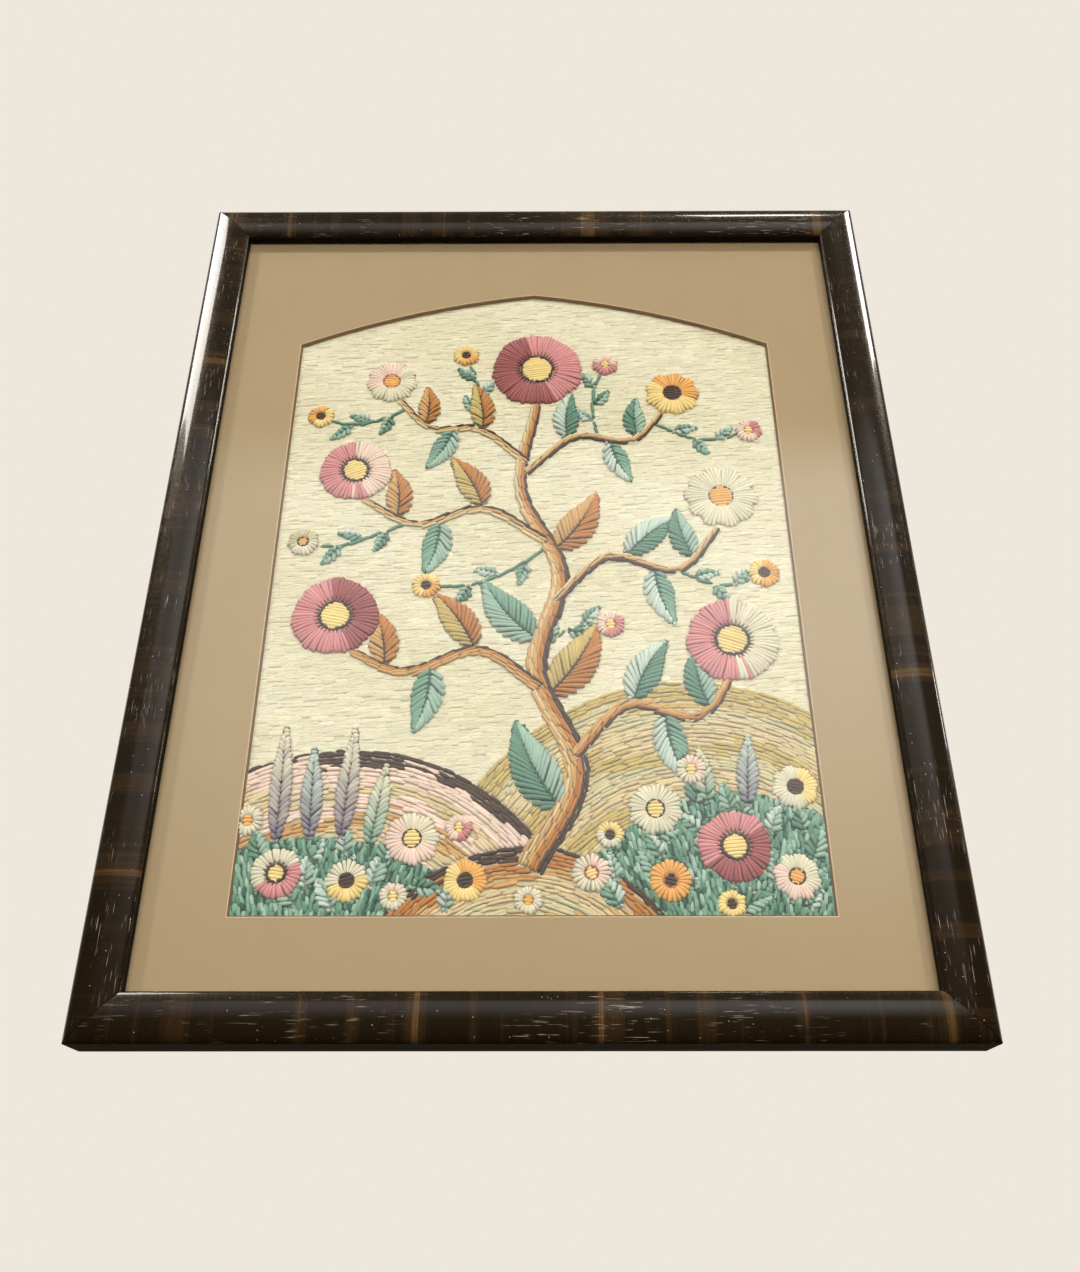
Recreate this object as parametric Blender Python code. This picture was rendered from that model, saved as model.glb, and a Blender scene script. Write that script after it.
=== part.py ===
"""Framed crewel embroidery panel: mitred rails, glass, window mat, stitched cloth and backing board.

The front faces -Y, the width runs along X and the height along Z. The origin is under the middle
of the object, at the level of the bottom rail's underside. Sizes are named in millimetres and
multiplied by MM, so every mesh and place is in metres. "Out" is measured from the wall forwards
and "in" from a rail's outer edge towards the glass.
"""

import math

import bmesh
import bpy
from mathutils import Vector
from mathutils.geometry import delaunay_2d_cdt

MM = 0.001

# Rails
FRAME_WIDTH = 438.0
FRAME_HEIGHT = 550.0
RAIL_WIDTH = 24.0
SIDE_OUT = 22.0
CREST_OUT = 26.0
CREST_IN = 10.0
SIGHT_OUT = 23.2
LIP_WIDTH = 8.0
CREST_STEPS = 7
FALL_STEPS = 6
FALL_POWER = 2.2

# Clearance between neighbouring pieces
GAP = 0.3

# Sheets in the rebate, from the front to the back
GLASS_OUT = 17.4
GLASS_THICK = 2.0
MAT_THICK = 1.8
CLOTH_THICK = 1.8
BOARD_THICK = 5.0
SHEET_WIDTH = FRAME_WIDTH - 2 * (RAIL_WIDTH - LIP_WIDTH + GAP)
SHEET_HEIGHT = FRAME_HEIGHT - 2 * (RAIL_WIDTH - LIP_WIDTH + GAP)
MAT_OUT = GLASS_OUT - GLASS_THICK - GAP
CLOTH_OUT = MAT_OUT - MAT_THICK - GAP
BOARD_OUT = CLOTH_OUT - CLOTH_THICK - GAP

# Arched window in the mat: each half of its top is one shallow arc
WINDOW_HALF = 152.0
WINDOW_FOOT = 61.2
WINDOW_SHOULDER = 436.0
WINDOW_APEX = 479.0
ARCH_RADIUS = 530.0
ARCH_STEPS = 10
BEVEL = 1.2
CUT_PAST = 1.0

# Relief of the stitching over the plain ground, and how far it keeps from the window's edge
FLOWER_RISE = 1.1
LEAF_RISE = 0.9
STEM_RISE = 0.9
CLEAR_OF_MAT = 1.5
RISE_WITHIN = 2.5
MERGE_WITHIN = 0.05

# How finely the motif's outlines are drawn
CURVE_STEPS = 24
LEAF_STATIONS = 7
STEM_STATION = 9.0
HILL_STEPS = 24

HILL_EDGE = 0.98
HILLS = (
    # x, foot z, half width, rise of the crown, thickness of its stitching
    (84.0, 20.0, 150.0, 172.0, 0.3),
    (-98.0, 12.0, 132.0, 140.0, 0.3),
    (104.0, 24.0, 96.0, 104.0, 0.5),
    (-112.0, 20.0, 100.0, 84.0, 0.5),
    (-4.0, 12.0, 88.0, 86.0, 0.5),
)

STEMS = (
    # points from root to tip, width at the root, width at the tip, leaf length, leaf places,
    # side of the first leaf
    (((-2, 86), (24, 138), (2, 200), (16, 262), (-8, 322), (2, 388)), 15.0, 6.0, 60.0,
     (0.1, 0.345, 0.45, 0.63), 1),
    (((22, 148), (52, 178), (90, 170), (112, 198)), 7.0, 4.0, 46.0, (0.4, 0.56, 0.76), 1),
    (((4, 188), (-30, 212), (-72, 198), (-106, 214)), 7.0, 4.0, 46.0, (0.36, 0.56, 0.76), -1),
    (((13, 244), (44, 274), (84, 264), (110, 294)), 6.5, 4.0, 44.0, (0.4, 0.56, 0.76), 1),
    (((8, 284), (-30, 308), (-70, 296), (-104, 316)), 6.5, 4.0, 44.0, (0.36, 0.56, 0.76), -1),
    (((-5, 334), (26, 362), (60, 358), (82, 382)), 5.5, 3.5, 38.0, (0.36, 0.56, 0.76), 1),
    (((-4, 342), (-34, 368), (-64, 368), (-86, 392)), 5.5, 3.5, 38.0, (0.36, 0.56, 0.76), -1),
)
SWELL = 0.55
STEM_SHOULDER = 0.9
LEAF_TAPER = 0.2
LEAF_FULL_NEAR_BASE = 0.8
MIDRIB_GROOVE = 0.45
LEAF_SLENDER = 0.44
LEAF_SPLAY = 70.0
LEAF_TURN = 30.0

FLOWERS = (
    # x, z, radius
    (2.0, 416.0, 30.0),
    (112.0, 218.0, 27.0),
    (-113.0, 234.0, 26.0),
    (113.0, 316.0, 23.0),
    (-109.0, 336.0, 23.0),
    (88.0, 396.0, 18.0),
    (-91.0, 406.0, 17.0),
    (104.0, 98.0, 20.0),
    (64.0, 118.0, 15.0),
    (138.0, 130.0, 13.0),
    (-62.0, 102.0, 15.0),
    (-34.0, 80.0, 12.0),
    (30.0, 84.0, 11.0),
    (70.0, 80.0, 12.0),
    (134.0, 82.0, 13.0),
    (-130.0, 84.0, 14.0),
    (-94.0, 80.0, 12.0),
    (134.0, 262.0, 10.0),
    (-136.0, 284.0, 10.0),
    (46.0, 420.0, 9.0),
    (-44.0, 428.0, 9.0),
    (134.0, 366.0, 9.0),
    (-134.0, 378.0, 9.0),
    (44.0, 228.0, 9.0),
    (-62.0, 254.0, 9.0),
)
FLOWER_RINGS = (
    # share of the radius, share of the rise, points round the ring, smallest flower that has it
    (1.0, 0.0, 18, 0.0),
    (0.86, 0.85, 18, 0.0),
    (0.5, 1.0, 12, 0.0),
    (0.36, 0.45, 10, 0.0),
    (0.22, 0.8, 6, 15.0),
)

SPIKES = (
    # x, foot z, height, lean in degrees
    (-84.0, 96.0, 50.0, -8.0),
    (-99.0, 100.0, 68.0, -3.0),
    (-115.0, 100.0, 56.0, 2.0),
    (-132.0, 98.0, 72.0, 1.0),
    (112.0, 118.0, 44.0, -5.0),
    (92.0, 120.0, 34.0, 6.0),
)
SPIKE_WIDTH = 12.0

COLOURS = {
    "rail": (0.021, 0.013, 0.009),
    "glass": (0.85, 0.88, 0.86),
    "mat": (0.473, 0.352, 0.188),
    "embroidery": (0.62, 0.52, 0.36),
    "board": (0.20, 0.13, 0.08),
}


def clear_scene():
    for item in list(bpy.data.objects):
        bpy.data.objects.remove(item, do_unlink=True)


def make_material(name, roughness, alpha=1.0):
    material = bpy.data.materials.new(name)
    material.use_nodes = True
    shader = material.node_tree.nodes["Principled BSDF"]
    shader.inputs["Base Color"].default_value = (*COLOURS[name], 1.0)
    shader.inputs["Roughness"].default_value = roughness
    shader.inputs["Metallic"].default_value = 0.0
    shader.inputs["Alpha"].default_value = alpha
    return material


def add_object(name, mesh_maker, material, root, out=0.0, height=0.0, turn=0.0):
    """Make one piece from mesh_maker(bmesh), place it and hang it on the root."""
    shape = bmesh.new()
    mesh_maker(shape)
    bmesh.ops.recalc_face_normals(shape, faces=shape.faces)
    mesh = bpy.data.meshes.new(name)
    shape.to_mesh(mesh)
    shape.free()
    piece = bpy.data.objects.new(name, mesh)
    bpy.context.scene.collection.objects.link(piece)
    if material:
        mesh.materials.append(material)
    piece.parent = root
    piece.location = (0.0, (CREST_OUT / 2 - out) * MM, height * MM)
    piece.rotation_euler = (0.0, turn, 0.0)
    return piece


def rail_profile():
    """The rail's section as (in, out) points, round from the back edge of the outer side."""
    points = [(0.0, 0.0), (0.0, SIDE_OUT)]
    for step in range(1, CREST_STEPS + 1):
        angle = math.pi / 2 * step / CREST_STEPS
        run = CREST_IN * (1 - math.cos(angle))
        points.append((run, SIDE_OUT + (CREST_OUT - SIDE_OUT) * math.sin(angle)))
    for step in range(1, FALL_STEPS + 1):
        share = step / FALL_STEPS
        run = CREST_IN + (RAIL_WIDTH - CREST_IN) * share
        points.append((run, CREST_OUT - (CREST_OUT - SIGHT_OUT) * share**FALL_POWER))
    underside = GLASS_OUT + GAP
    points.append((RAIL_WIDTH, underside))
    points.append((RAIL_WIDTH - LIP_WIDTH, underside))
    points.append((RAIL_WIDTH - LIP_WIDTH, 0.0))
    return points


def rail_shape(length):
    """A moulding as long as one side of the frame, cut to a mitre at both ends."""
    mitre_back = GAP / math.sqrt(2.0)

    def build(shape):
        section = [shape.verts.new((0.0, -out * MM, run * MM)) for run, out in rail_profile()]
        face = shape.faces.new(section)
        grown = bmesh.ops.extrude_face_region(shape, geom=[face])
        far_end = {part for part in grown["geom"] if isinstance(part, bmesh.types.BMVert)}
        for vert in shape.verts:
            reach = (length / 2 - mitre_back) * MM - vert.co.z
            vert.co.x = reach if vert in far_end else -reach

    return build


def make_rails(material, root):
    middle = FRAME_HEIGHT / 2
    across = rail_shape(FRAME_WIDTH)
    upright = rail_shape(FRAME_HEIGHT)
    sides = (
        ("rail_bottom", across, 0.0, 0.0, 0.0),
        ("rail_top", across, 0.0, FRAME_HEIGHT, math.pi),
        ("rail_left", upright, -FRAME_WIDTH / 2, middle, math.pi / 2),
        ("rail_right", upright, FRAME_WIDTH / 2, middle, -math.pi / 2),
    )
    for name, shape, across_x, height, turn in sides:
        rail = add_object(name, shape, material, root, height=height, turn=turn)
        rail.location.x = across_x * MM
        rail.data.shade_smooth()
        rail.data.set_sharp_from_angle(angle=math.radians(30))


def sheet_shape(thick):
    """A plain rectangular sheet that fits the rebate, its front face on the object's origin."""

    def build(shape):
        bmesh.ops.create_cube(shape, size=1.0)
        for vert in shape.verts:
            vert.co.x *= SHEET_WIDTH * MM
            vert.co.y = (vert.co.y + 0.5) * thick * MM
            vert.co.z *= SHEET_HEIGHT * MM

    return build


def arch_centre():
    """Centre of the arc that carries the right half of the window's top."""
    shoulder = Vector((WINDOW_HALF, WINDOW_SHOULDER))
    apex = Vector((0.0, WINDOW_APEX))
    chord = apex - shoulder
    below = Vector((chord.y, -chord.x)).normalized()
    if below.y > 0:
        below.negate()
    rise = math.sqrt(ARCH_RADIUS**2 - (chord.length / 2) ** 2)
    return (shoulder + apex) / 2 + below * rise


def window_outline(inset=0.0):
    """The arched window as (x, z) points, anticlockwise from the lower left, drawn in by inset."""
    centre = arch_centre()
    radius = ARCH_RADIUS - inset
    half = WINDOW_HALF - inset
    start = math.asin((half - centre.x) / radius)
    end = math.asin(-centre.x / radius)
    right = []
    for step in range(ARCH_STEPS + 1):
        angle = start + (end - start) * step / ARCH_STEPS
        right.append((centre.x + radius * math.sin(angle), centre.y + radius * math.cos(angle)))
    left = [(-x, z) for x, z in reversed(right[:-1])]
    foot = WINDOW_FOOT + inset
    return [(-half, foot), (half, foot)] + right + left


def window_cutter_shape(shape):
    """The window's hole with its bevelled edge, a little longer than the mat is thick."""
    middle = FRAME_HEIGHT / 2
    rings = []
    for depth in (-CUT_PAST, MAT_THICK + CUT_PAST):
        inset = BEVEL * depth / MAT_THICK
        outline = window_outline(inset)
        rings.append([shape.verts.new((x * MM, depth * MM, (z - middle) * MM)) for x, z in outline])
    shape.faces.new(rings[0])
    shape.faces.new(list(reversed(rings[1])))
    count = len(rings[0])
    for index in range(count):
        after = (index + 1) % count
        shape.faces.new((rings[0][after], rings[0][index], rings[1][index], rings[1][after]))


def make_mat(material, root):
    middle = FRAME_HEIGHT / 2
    mat = add_object("mat", sheet_shape(MAT_THICK), material, root, MAT_OUT, middle)
    cutter = add_object("window_cutter", window_cutter_shape, None, root, MAT_OUT, middle)
    cutter.hide_render = True
    cutter.display_type = "WIRE"
    cut = mat.modifiers.new("window", "BOOLEAN")
    cut.operation = "DIFFERENCE"
    cut.solver = "EXACT"
    cut.object = cutter


def smooth_curve(points, station):
    """Even stations along a smooth curve through the points, as (place, direction) pairs."""
    knots = [Vector(point) for point in points]
    knots = [2 * knots[0] - knots[1]] + knots + [2 * knots[-1] - knots[-2]]
    fine = []
    for before, start, end, after in zip(knots, knots[1:], knots[2:], knots[3:]):
        for step in range(CURVE_STEPS):
            t = step / CURVE_STEPS
            bend = (2 * before - 5 * start + 4 * end - after) * t * t
            twist = (3 * start - before - 3 * end + after) * t**3
            fine.append(0.5 * (2 * start + (end - before) * t + bend + twist))
    fine.append(knots[-2])
    lengths = [0.0]
    for first, second in zip(fine, fine[1:]):
        lengths.append(lengths[-1] + (second - first).length)
    count = max(3, round(lengths[-1] / station))
    stations = []
    for step in range(count + 1):
        wanted = lengths[-1] * step / count
        index = next(i for i in range(1, len(fine)) if lengths[i] >= wanted - 1e-9)
        share = (wanted - lengths[index - 1]) / (lengths[index] - lengths[index - 1])
        place = fine[index - 1].lerp(fine[index], share)
        stations.append((place, (fine[index] - fine[index - 1]).normalized()))
    return stations


def side_of(direction):
    """The left-hand normal of a direction in the panel's plane."""
    return Vector((-direction.y, direction.x))


class Relief:
    """Outlines raised from the ground, gathered as constrained edges, each with its height rule."""

    def __init__(self):
        self.points = []
        self.edges = []
        self.rules = []

    def add_line(self, points, closed=False):
        first = len(self.points)
        self.points += [Vector((point[0], point[1])) for point in points]
        last = len(self.points) - 1
        self.edges += [(index, index + 1) for index in range(first, last)]
        if closed:
            self.edges.append((last, first))

    def height(self, point):
        """The highest motif at this point, let down to nothing beside the mat."""
        room = min(1.0, max(0.0, (distance_inside_window(point) - CLEAR_OF_MAT) / RISE_WITHIN))
        return room * max(rule(point) for rule in self.rules)


def distance_inside_window(point):
    """How far a point lies inside the window's edge."""
    centre = arch_centre()
    across = Vector((abs(point.x), point.y)) - centre
    sides = min(WINDOW_HALF - abs(point.x), point.y - WINDOW_FOOT)
    return min(sides, ARCH_RADIUS - across.length)


def graded(value, table):
    """Read a height between the rows of a (place, height) table sorted by place."""
    for (low, low_height), (high, high_height) in zip(table, table[1:]):
        if value <= high:
            share = (value - low) / (high - low)
            return low_height + (high_height - low_height) * max(0.0, share)
    return 0.0


def add_flower(relief, x, z, radius):
    centre = Vector((x, z))
    for share, _, count, smallest in FLOWER_RINGS:
        if radius < smallest:
            continue
        turns = [2 * math.pi * index / count for index in range(count)]
        ring = [(x + radius * share * math.cos(a), z + radius * share * math.sin(a)) for a in turns]
        relief.add_line(ring, closed=True)
    relief.points.append(centre)
    table = [(0.0, FLOWER_RINGS[-1][1] * FLOWER_RISE)]
    table += [(share, rise * FLOWER_RISE) for share, rise, *_ in reversed(FLOWER_RINGS)]
    relief.rules.append(lambda point: graded((point - centre).length / radius, table))


def leaf_half_width(share, width):
    """Half the leaf's width at a share of its length: full near the base, drawn to a point."""
    return width / 2 * math.sin(math.pi * min(1.0, max(0.0, share)) ** LEAF_FULL_NEAR_BASE)


def leaf_spine(base, heading, length, turn):
    """Stations along the leaf's midrib, an arc that turns as it goes."""
    place = Vector(base)
    stations = []
    for step in range(LEAF_STATIONS + 1):
        angle = heading + turn * step / LEAF_STATIONS
        direction = Vector((math.cos(angle), math.sin(angle)))
        stations.append((place.copy(), direction))
        ahead = angle + turn / LEAF_STATIONS / 2
        place += Vector((math.cos(ahead), math.sin(ahead))) * length / LEAF_STATIONS
    return stations


def nearest_station(point, stations):
    """Share of the way along the stations, and the distance to one side, nearest to a point."""
    best = None
    for index, ((start, _), (end, _)) in enumerate(zip(stations, stations[1:])):
        run = end - start
        share = min(1.0, max(0.0, (point - start).dot(run) / run.length_squared))
        away = (point - start - run * share).length
        if best is None or away < best[1]:
            best = ((index + share) / (len(stations) - 1), away)
    return best


def add_leaf(relief, base, heading, length, width, turn):
    """A leaf of two raised halves with a groove along the midrib."""
    stations = leaf_spine(base, heading, length, turn)
    last = len(stations) - 1
    for side in (-1, 1):
        edge = []
        swell = []
        for index, (place, direction) in enumerate(stations):
            offset = side_of(direction) * side * leaf_half_width(index / last, width)
            edge.append(place + offset)
            if 0 < index < last:
                swell.append(place + offset * SWELL)
        relief.add_line(edge)
        relief.add_line(swell)
    relief.add_line([place for place, _ in stations])
    table = [(0.0, LEAF_RISE * MIDRIB_GROOVE), (SWELL, LEAF_RISE), (1.0, 0.0)]

    def rule(point):
        share, away = nearest_station(point, stations)
        half = leaf_half_width(share, width)
        return graded(away / half, table) if half > MERGE_WITHIN else 0.0

    relief.rules.append(rule)


def add_stem(relief, stations, root_width, tip_width):
    """A rounded band along the stations that narrows from root to tip."""
    last = len(stations) - 1

    def half_width(share):
        return (root_width + (tip_width - root_width) * share) / 2

    for side in (-1, -SWELL, SWELL, 1):
        line = []
        for index, (place, direction) in enumerate(stations):
            line.append(place + side_of(direction) * side * half_width(index / last))
        relief.add_line(line)
    table = [(0.0, STEM_RISE), (SWELL, STEM_RISE * STEM_SHOULDER), (1.0, 0.0)]

    def rule(point):
        share, away = nearest_station(point, stations)
        return graded(away / half_width(share), table)

    relief.rules.append(rule)


def add_stem_leaves(relief, stations, leaf_length, places, first_side):
    """Leaves on alternate sides of a stem, each splayed from it and curling back to its heading."""
    side = first_side
    for count, share in enumerate(places):
        place, direction = stations[round(share * (len(stations) - 1))]
        heading = math.atan2(direction.y, direction.x) + side * math.radians(LEAF_SPLAY)
        length = leaf_length * (1.0 - LEAF_TAPER * count / len(places))
        turn = -side * math.radians(LEAF_TURN)
        add_leaf(relief, place, heading, length, length * LEAF_SLENDER, turn)
        side = -side


def add_hill(relief, x, foot, half_width, crown, rise):
    """A low mound whose crown shows over the window's foot."""
    middle = Vector((x, foot))
    line = []
    for step in range(HILL_STEPS + 1):
        angle = math.pi * step / HILL_STEPS
        point = middle + Vector((half_width * math.cos(angle), crown * math.sin(angle)))
        if distance_inside_window(point) > 0.0:
            line.append(point)
    relief.add_line(line)
    relief.add_line([middle + (point - middle) * HILL_EDGE for point in line])

    def rule(point):
        reach = math.hypot((point.x - x) / half_width, (point.y - foot) / crown)
        return graded(reach, [(0.0, rise), (HILL_EDGE, rise), (1.0, 0.0)])

    relief.rules.append(rule)


def stitched_relief():
    """The whole motif of the panel: mounds, a flowering stem, its leaves and the spikes."""
    relief = Relief()
    relief.rules.append(lambda point: 0.0)
    relief.add_line(window_outline(CLEAR_OF_MAT), closed=True)
    relief.add_line(window_outline(CLEAR_OF_MAT + RISE_WITHIN), closed=True)
    for hill in HILLS:
        add_hill(relief, *hill)
    for points, root_width, tip_width, leaf_length, places, first_side in STEMS:
        stations = smooth_curve(points, STEM_STATION)
        add_stem_leaves(relief, stations, leaf_length, places, first_side)
        add_stem(relief, stations, root_width, tip_width)
    for x, foot, height, lean in SPIKES:
        add_leaf(relief, (x, foot), math.radians(90.0 + lean), height, SPIKE_WIDTH, 0.0)
    for flower in FLOWERS:
        add_flower(relief, *flower)
    return relief


def embroidery_shape(shape):
    """The stretched cloth: a flat back, square edges and the stitching's relief on its front."""
    relief = stitched_relief()
    half_width = SHEET_WIDTH / 2
    middle = FRAME_HEIGHT / 2
    low = middle - SHEET_HEIGHT / 2
    high = middle + SHEET_HEIGHT / 2
    corners = [(-half_width, low), (half_width, low), (half_width, high), (-half_width, high)]
    relief.add_line(corners, closed=True)
    flat, _, faces, *_ = delaunay_2d_cdt(relief.points, relief.edges, [], 0, MERGE_WITHIN)
    front = []
    for point in flat:
        out = relief.height(point)
        front.append(shape.verts.new((point.x * MM, -out * MM, (point.y - middle) * MM)))
    for face in faces:
        shape.faces.new([front[index] for index in face])
    rim = [edge for edge in shape.edges if edge.is_boundary]
    grown = bmesh.ops.extrude_edge_only(shape, edges=rim)
    back = [part for part in grown["geom"] if isinstance(part, bmesh.types.BMVert)]
    for vert in back:
        vert.co.y = CLOTH_THICK * MM
    back_rim = [part for part in grown["geom"] if isinstance(part, bmesh.types.BMEdge)]
    bmesh.ops.edgeloop_fill(shape, edges=[e for e in back_rim if e.is_boundary])


def build_panel():
    clear_scene()
    root = bpy.data.objects.new("framed_panel", None)
    bpy.context.scene.collection.objects.link(root)
    middle = FRAME_HEIGHT / 2
    rail = make_material("rail", 0.22)
    glass = make_material("glass", 0.05, alpha=0.25)
    mat = make_material("mat", 0.85)
    cloth = make_material("embroidery", 0.9)
    board = make_material("board", 0.8)
    make_rails(rail, root)
    add_object("glass", sheet_shape(GLASS_THICK), glass, root, GLASS_OUT, middle)
    make_mat(mat, root)
    add_object("embroidery", embroidery_shape, cloth, root, CLOTH_OUT, middle)
    add_object("backing_board", sheet_shape(BOARD_THICK), board, root, BOARD_OUT, middle)


build_panel()
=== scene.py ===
"""Looks of the framed crewel embroidery panel.

Wool strands are laid one by one over a stretched linen ground, behind glass and an arched window
mat, in a mitred moulding with a cross-grained veneer. The motif is planned in millimetres on the
panel's face, as (x, z) places with x from the middle and z from the frame's underside.
"""

import math

import bpy
import numpy as np
from bpy.props import FloatProperty, FloatVectorProperty, IntProperty, PointerProperty
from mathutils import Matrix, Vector


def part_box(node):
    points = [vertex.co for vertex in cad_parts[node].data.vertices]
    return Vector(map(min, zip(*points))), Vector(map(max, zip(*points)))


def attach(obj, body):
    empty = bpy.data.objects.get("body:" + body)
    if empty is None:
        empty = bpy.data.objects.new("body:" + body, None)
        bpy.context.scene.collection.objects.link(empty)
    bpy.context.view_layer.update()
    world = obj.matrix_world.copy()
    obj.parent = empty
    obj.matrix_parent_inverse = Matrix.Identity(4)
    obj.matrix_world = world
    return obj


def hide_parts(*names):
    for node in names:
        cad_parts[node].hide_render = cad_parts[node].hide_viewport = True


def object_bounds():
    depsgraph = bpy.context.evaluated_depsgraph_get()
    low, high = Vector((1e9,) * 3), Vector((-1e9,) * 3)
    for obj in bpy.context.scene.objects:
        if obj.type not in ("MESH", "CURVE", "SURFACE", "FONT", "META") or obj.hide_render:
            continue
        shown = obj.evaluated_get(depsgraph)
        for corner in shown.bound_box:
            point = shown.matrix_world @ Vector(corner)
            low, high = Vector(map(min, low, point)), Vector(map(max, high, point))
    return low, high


bl_info = {
    "name": "Framed crewel panel",
    "version": (1, 0, 0),
    "blender": (4, 5, 0),
    "location": "View3D > Sidebar > Crewel",
    "description": "Dresses a framed crewel embroidery panel with stitches, glass, mat and veneer",
    "category": "Object",
}

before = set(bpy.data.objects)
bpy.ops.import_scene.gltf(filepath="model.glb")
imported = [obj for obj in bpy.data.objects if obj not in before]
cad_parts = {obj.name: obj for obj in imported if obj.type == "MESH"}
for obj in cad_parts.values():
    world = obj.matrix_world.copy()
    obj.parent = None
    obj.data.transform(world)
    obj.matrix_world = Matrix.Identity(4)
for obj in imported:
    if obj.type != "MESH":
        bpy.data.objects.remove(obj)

MM = 0.001

# Places taken from the frame, in metres
LOW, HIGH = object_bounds()
BACK_Y = HIGH[1]
CLOTH_BACK_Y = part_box("embroidery")[1][1]
MAT_FRONT_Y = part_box("mat")[0][1]
CLOTH_THICK = 0.8 * MM
CLOTH_FRONT_Y = CLOTH_BACK_Y - CLOTH_THICK

# Moulding and mat, in metres
RAIL_SIDE_DEPTH = 22.0 * MM
SIGHT_EDGE_ROUND = 1.1 * MM
WINDOW_EDGE_EASE = 0.3 * MM
# How near two places are that count as the same
SAME = 0.1 * MM
# Half of the part of the mat that holds the window's edge and none of the mat's own
WITHIN_MAT = (180.0 * MM, 235.0 * MM)

# Arched window in the mat, in millimetres
WINDOW_HALF = 152.0
WINDOW_FOOT = 61.2
WINDOW_SHOULDER = 436.0
WINDOW_APEX = 479.0
ARCH_RADIUS = 530.0
UNDER_MAT = 2.0

# Side of a cell of the planning grid, in millimetres
CELL = 0.5

# Padding under the raised stitches, in millimetres
FLOWER_PAD = 1.15
LEAF_PAD = 0.9
STEM_PAD = 0.9

# How far stitches run on under a motif that lies over them, in millimetres
TUCK = 1.1

# Most strands in one mesh, at 80 triangles a strand
MOST_STRANDS = 2400

HILLS = (
    # x, foot z, half width, rise of the crown, thickness of its stitching, bands from the crown
    # down as wools with their rows
    (84.0, 20.0, 150.0, 172.0, 0.15,
     (("ochre", 6), ("straw", 4), ("sand", 6), ("ochre", 5), ("straw", 6), ("sand", 5),
      ("ochre", 7), ("straw", 5), ("sand", 5), ("ochre", 6), ("straw", 6), ("sand", 6))),
    (-98.0, 12.0, 132.0, 140.0, 0.15,
     (("brown", 2), ("blush", 6), ("sand", 4), ("blush", 5), ("tan", 4), ("sand", 4),
      ("blush", 5), ("tan", 5), ("sand", 6), ("tan", 6))),
    (-4.0, 12.0, 88.0, 86.0, 0.3,
     (("brown", 2), ("rust", 4), ("tan", 3), ("sand", 4), ("straw", 3), ("tan", 4), ("rust", 3),
      ("sand", 4), ("straw", 4))),
)
FRONT_HILL = 2

TURF = (
    # x, foot z, half width, rise of the crown, thickness of its stitching
    (104.0, 24.0, 96.0, 104.0, 0.35),
    (-112.0, 20.0, 100.0, 84.0, 0.35),
)
TURF_ROW = 4.1
TURF_STITCH = 7.4
TURF_WOOLS = ("teal", "teal", "sea", "teal", "sea", "pine", "sage")

STEMS = (
    # points from root to tip, width at the root, width at the tip, leaf length, leaf places,
    # side of the first leaf
    (((-2, 86), (24, 138), (2, 200), (16, 262), (-8, 322), (2, 388)), 15.0, 6.0, 60.0,
     (0.1, 0.345, 0.45, 0.63), 1),
    (((22, 148), (52, 178), (90, 170), (112, 198)), 7.0, 4.0, 46.0, (0.4, 0.56, 0.76), 1),
    (((4, 188), (-30, 212), (-72, 198), (-106, 214)), 7.0, 4.0, 46.0, (0.36, 0.56, 0.76), -1),
    (((13, 244), (44, 274), (84, 264), (110, 294)), 6.5, 4.0, 44.0, (0.4, 0.56, 0.76), 1),
    (((8, 284), (-30, 308), (-70, 296), (-104, 316)), 6.5, 4.0, 44.0, (0.36, 0.56, 0.76), -1),
    (((-5, 334), (26, 362), (60, 358), (82, 382)), 5.5, 3.5, 38.0, (0.36, 0.56, 0.76), 1),
    (((-4, 342), (-34, 368), (-64, 368), (-86, 392)), 5.5, 3.5, 38.0, (0.36, 0.56, 0.76), -1),
)
STEM_STATION = 9.0
STEM_WOOLS = ("brown", "brown", "rust", "rust", "tan", "tan", "sand", "tan", "rust")
LEAF_TAPER = 0.2
LEAF_SLENDER = 0.44
LEAF_SPLAY = 70.0
LEAF_TURN = 30.0
LEAF_FULL_NEAR_BASE = 0.8
LEAF_WOOLS = (
    # left side, right side, midrib
    ("teal", "sage", "pine"),
    ("ochre", "rust", "brown"),
    ("sage", "sea", "pine"),
    ("tan", "rust", "brown"),
    ("silver", "teal", "pine"),
    ("sea", "silver", "pine"),
)

TWIGS = (
    # points from the branch to the blossom
    ((84, 264), (100, 256), (116, 254), (130, 260)),
    ((-76, 297), (-96, 288), (-116, 281), (-132, 283)),
    ((40, 362), (37, 382), (39, 402), (45, 416)),
    ((-38, 369), (-35, 390), (-37, 410), (-43, 424)),
    ((76, 372), (94, 362), (114, 359), (130, 365)),
    ((-80, 384), (-98, 375), (-116, 371), (-130, 377)),
    ((6, 212), (18, 224), (30, 228), (40, 228)),
    ((8, 280), (-14, 264), (-38, 254), (-58, 254)),
)
TWIG_WIDTH = 2.6
TWIG_LEAF = 17.0
TWIG_LEAF_PLACES = (0.22, 0.46, 0.7)

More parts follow.
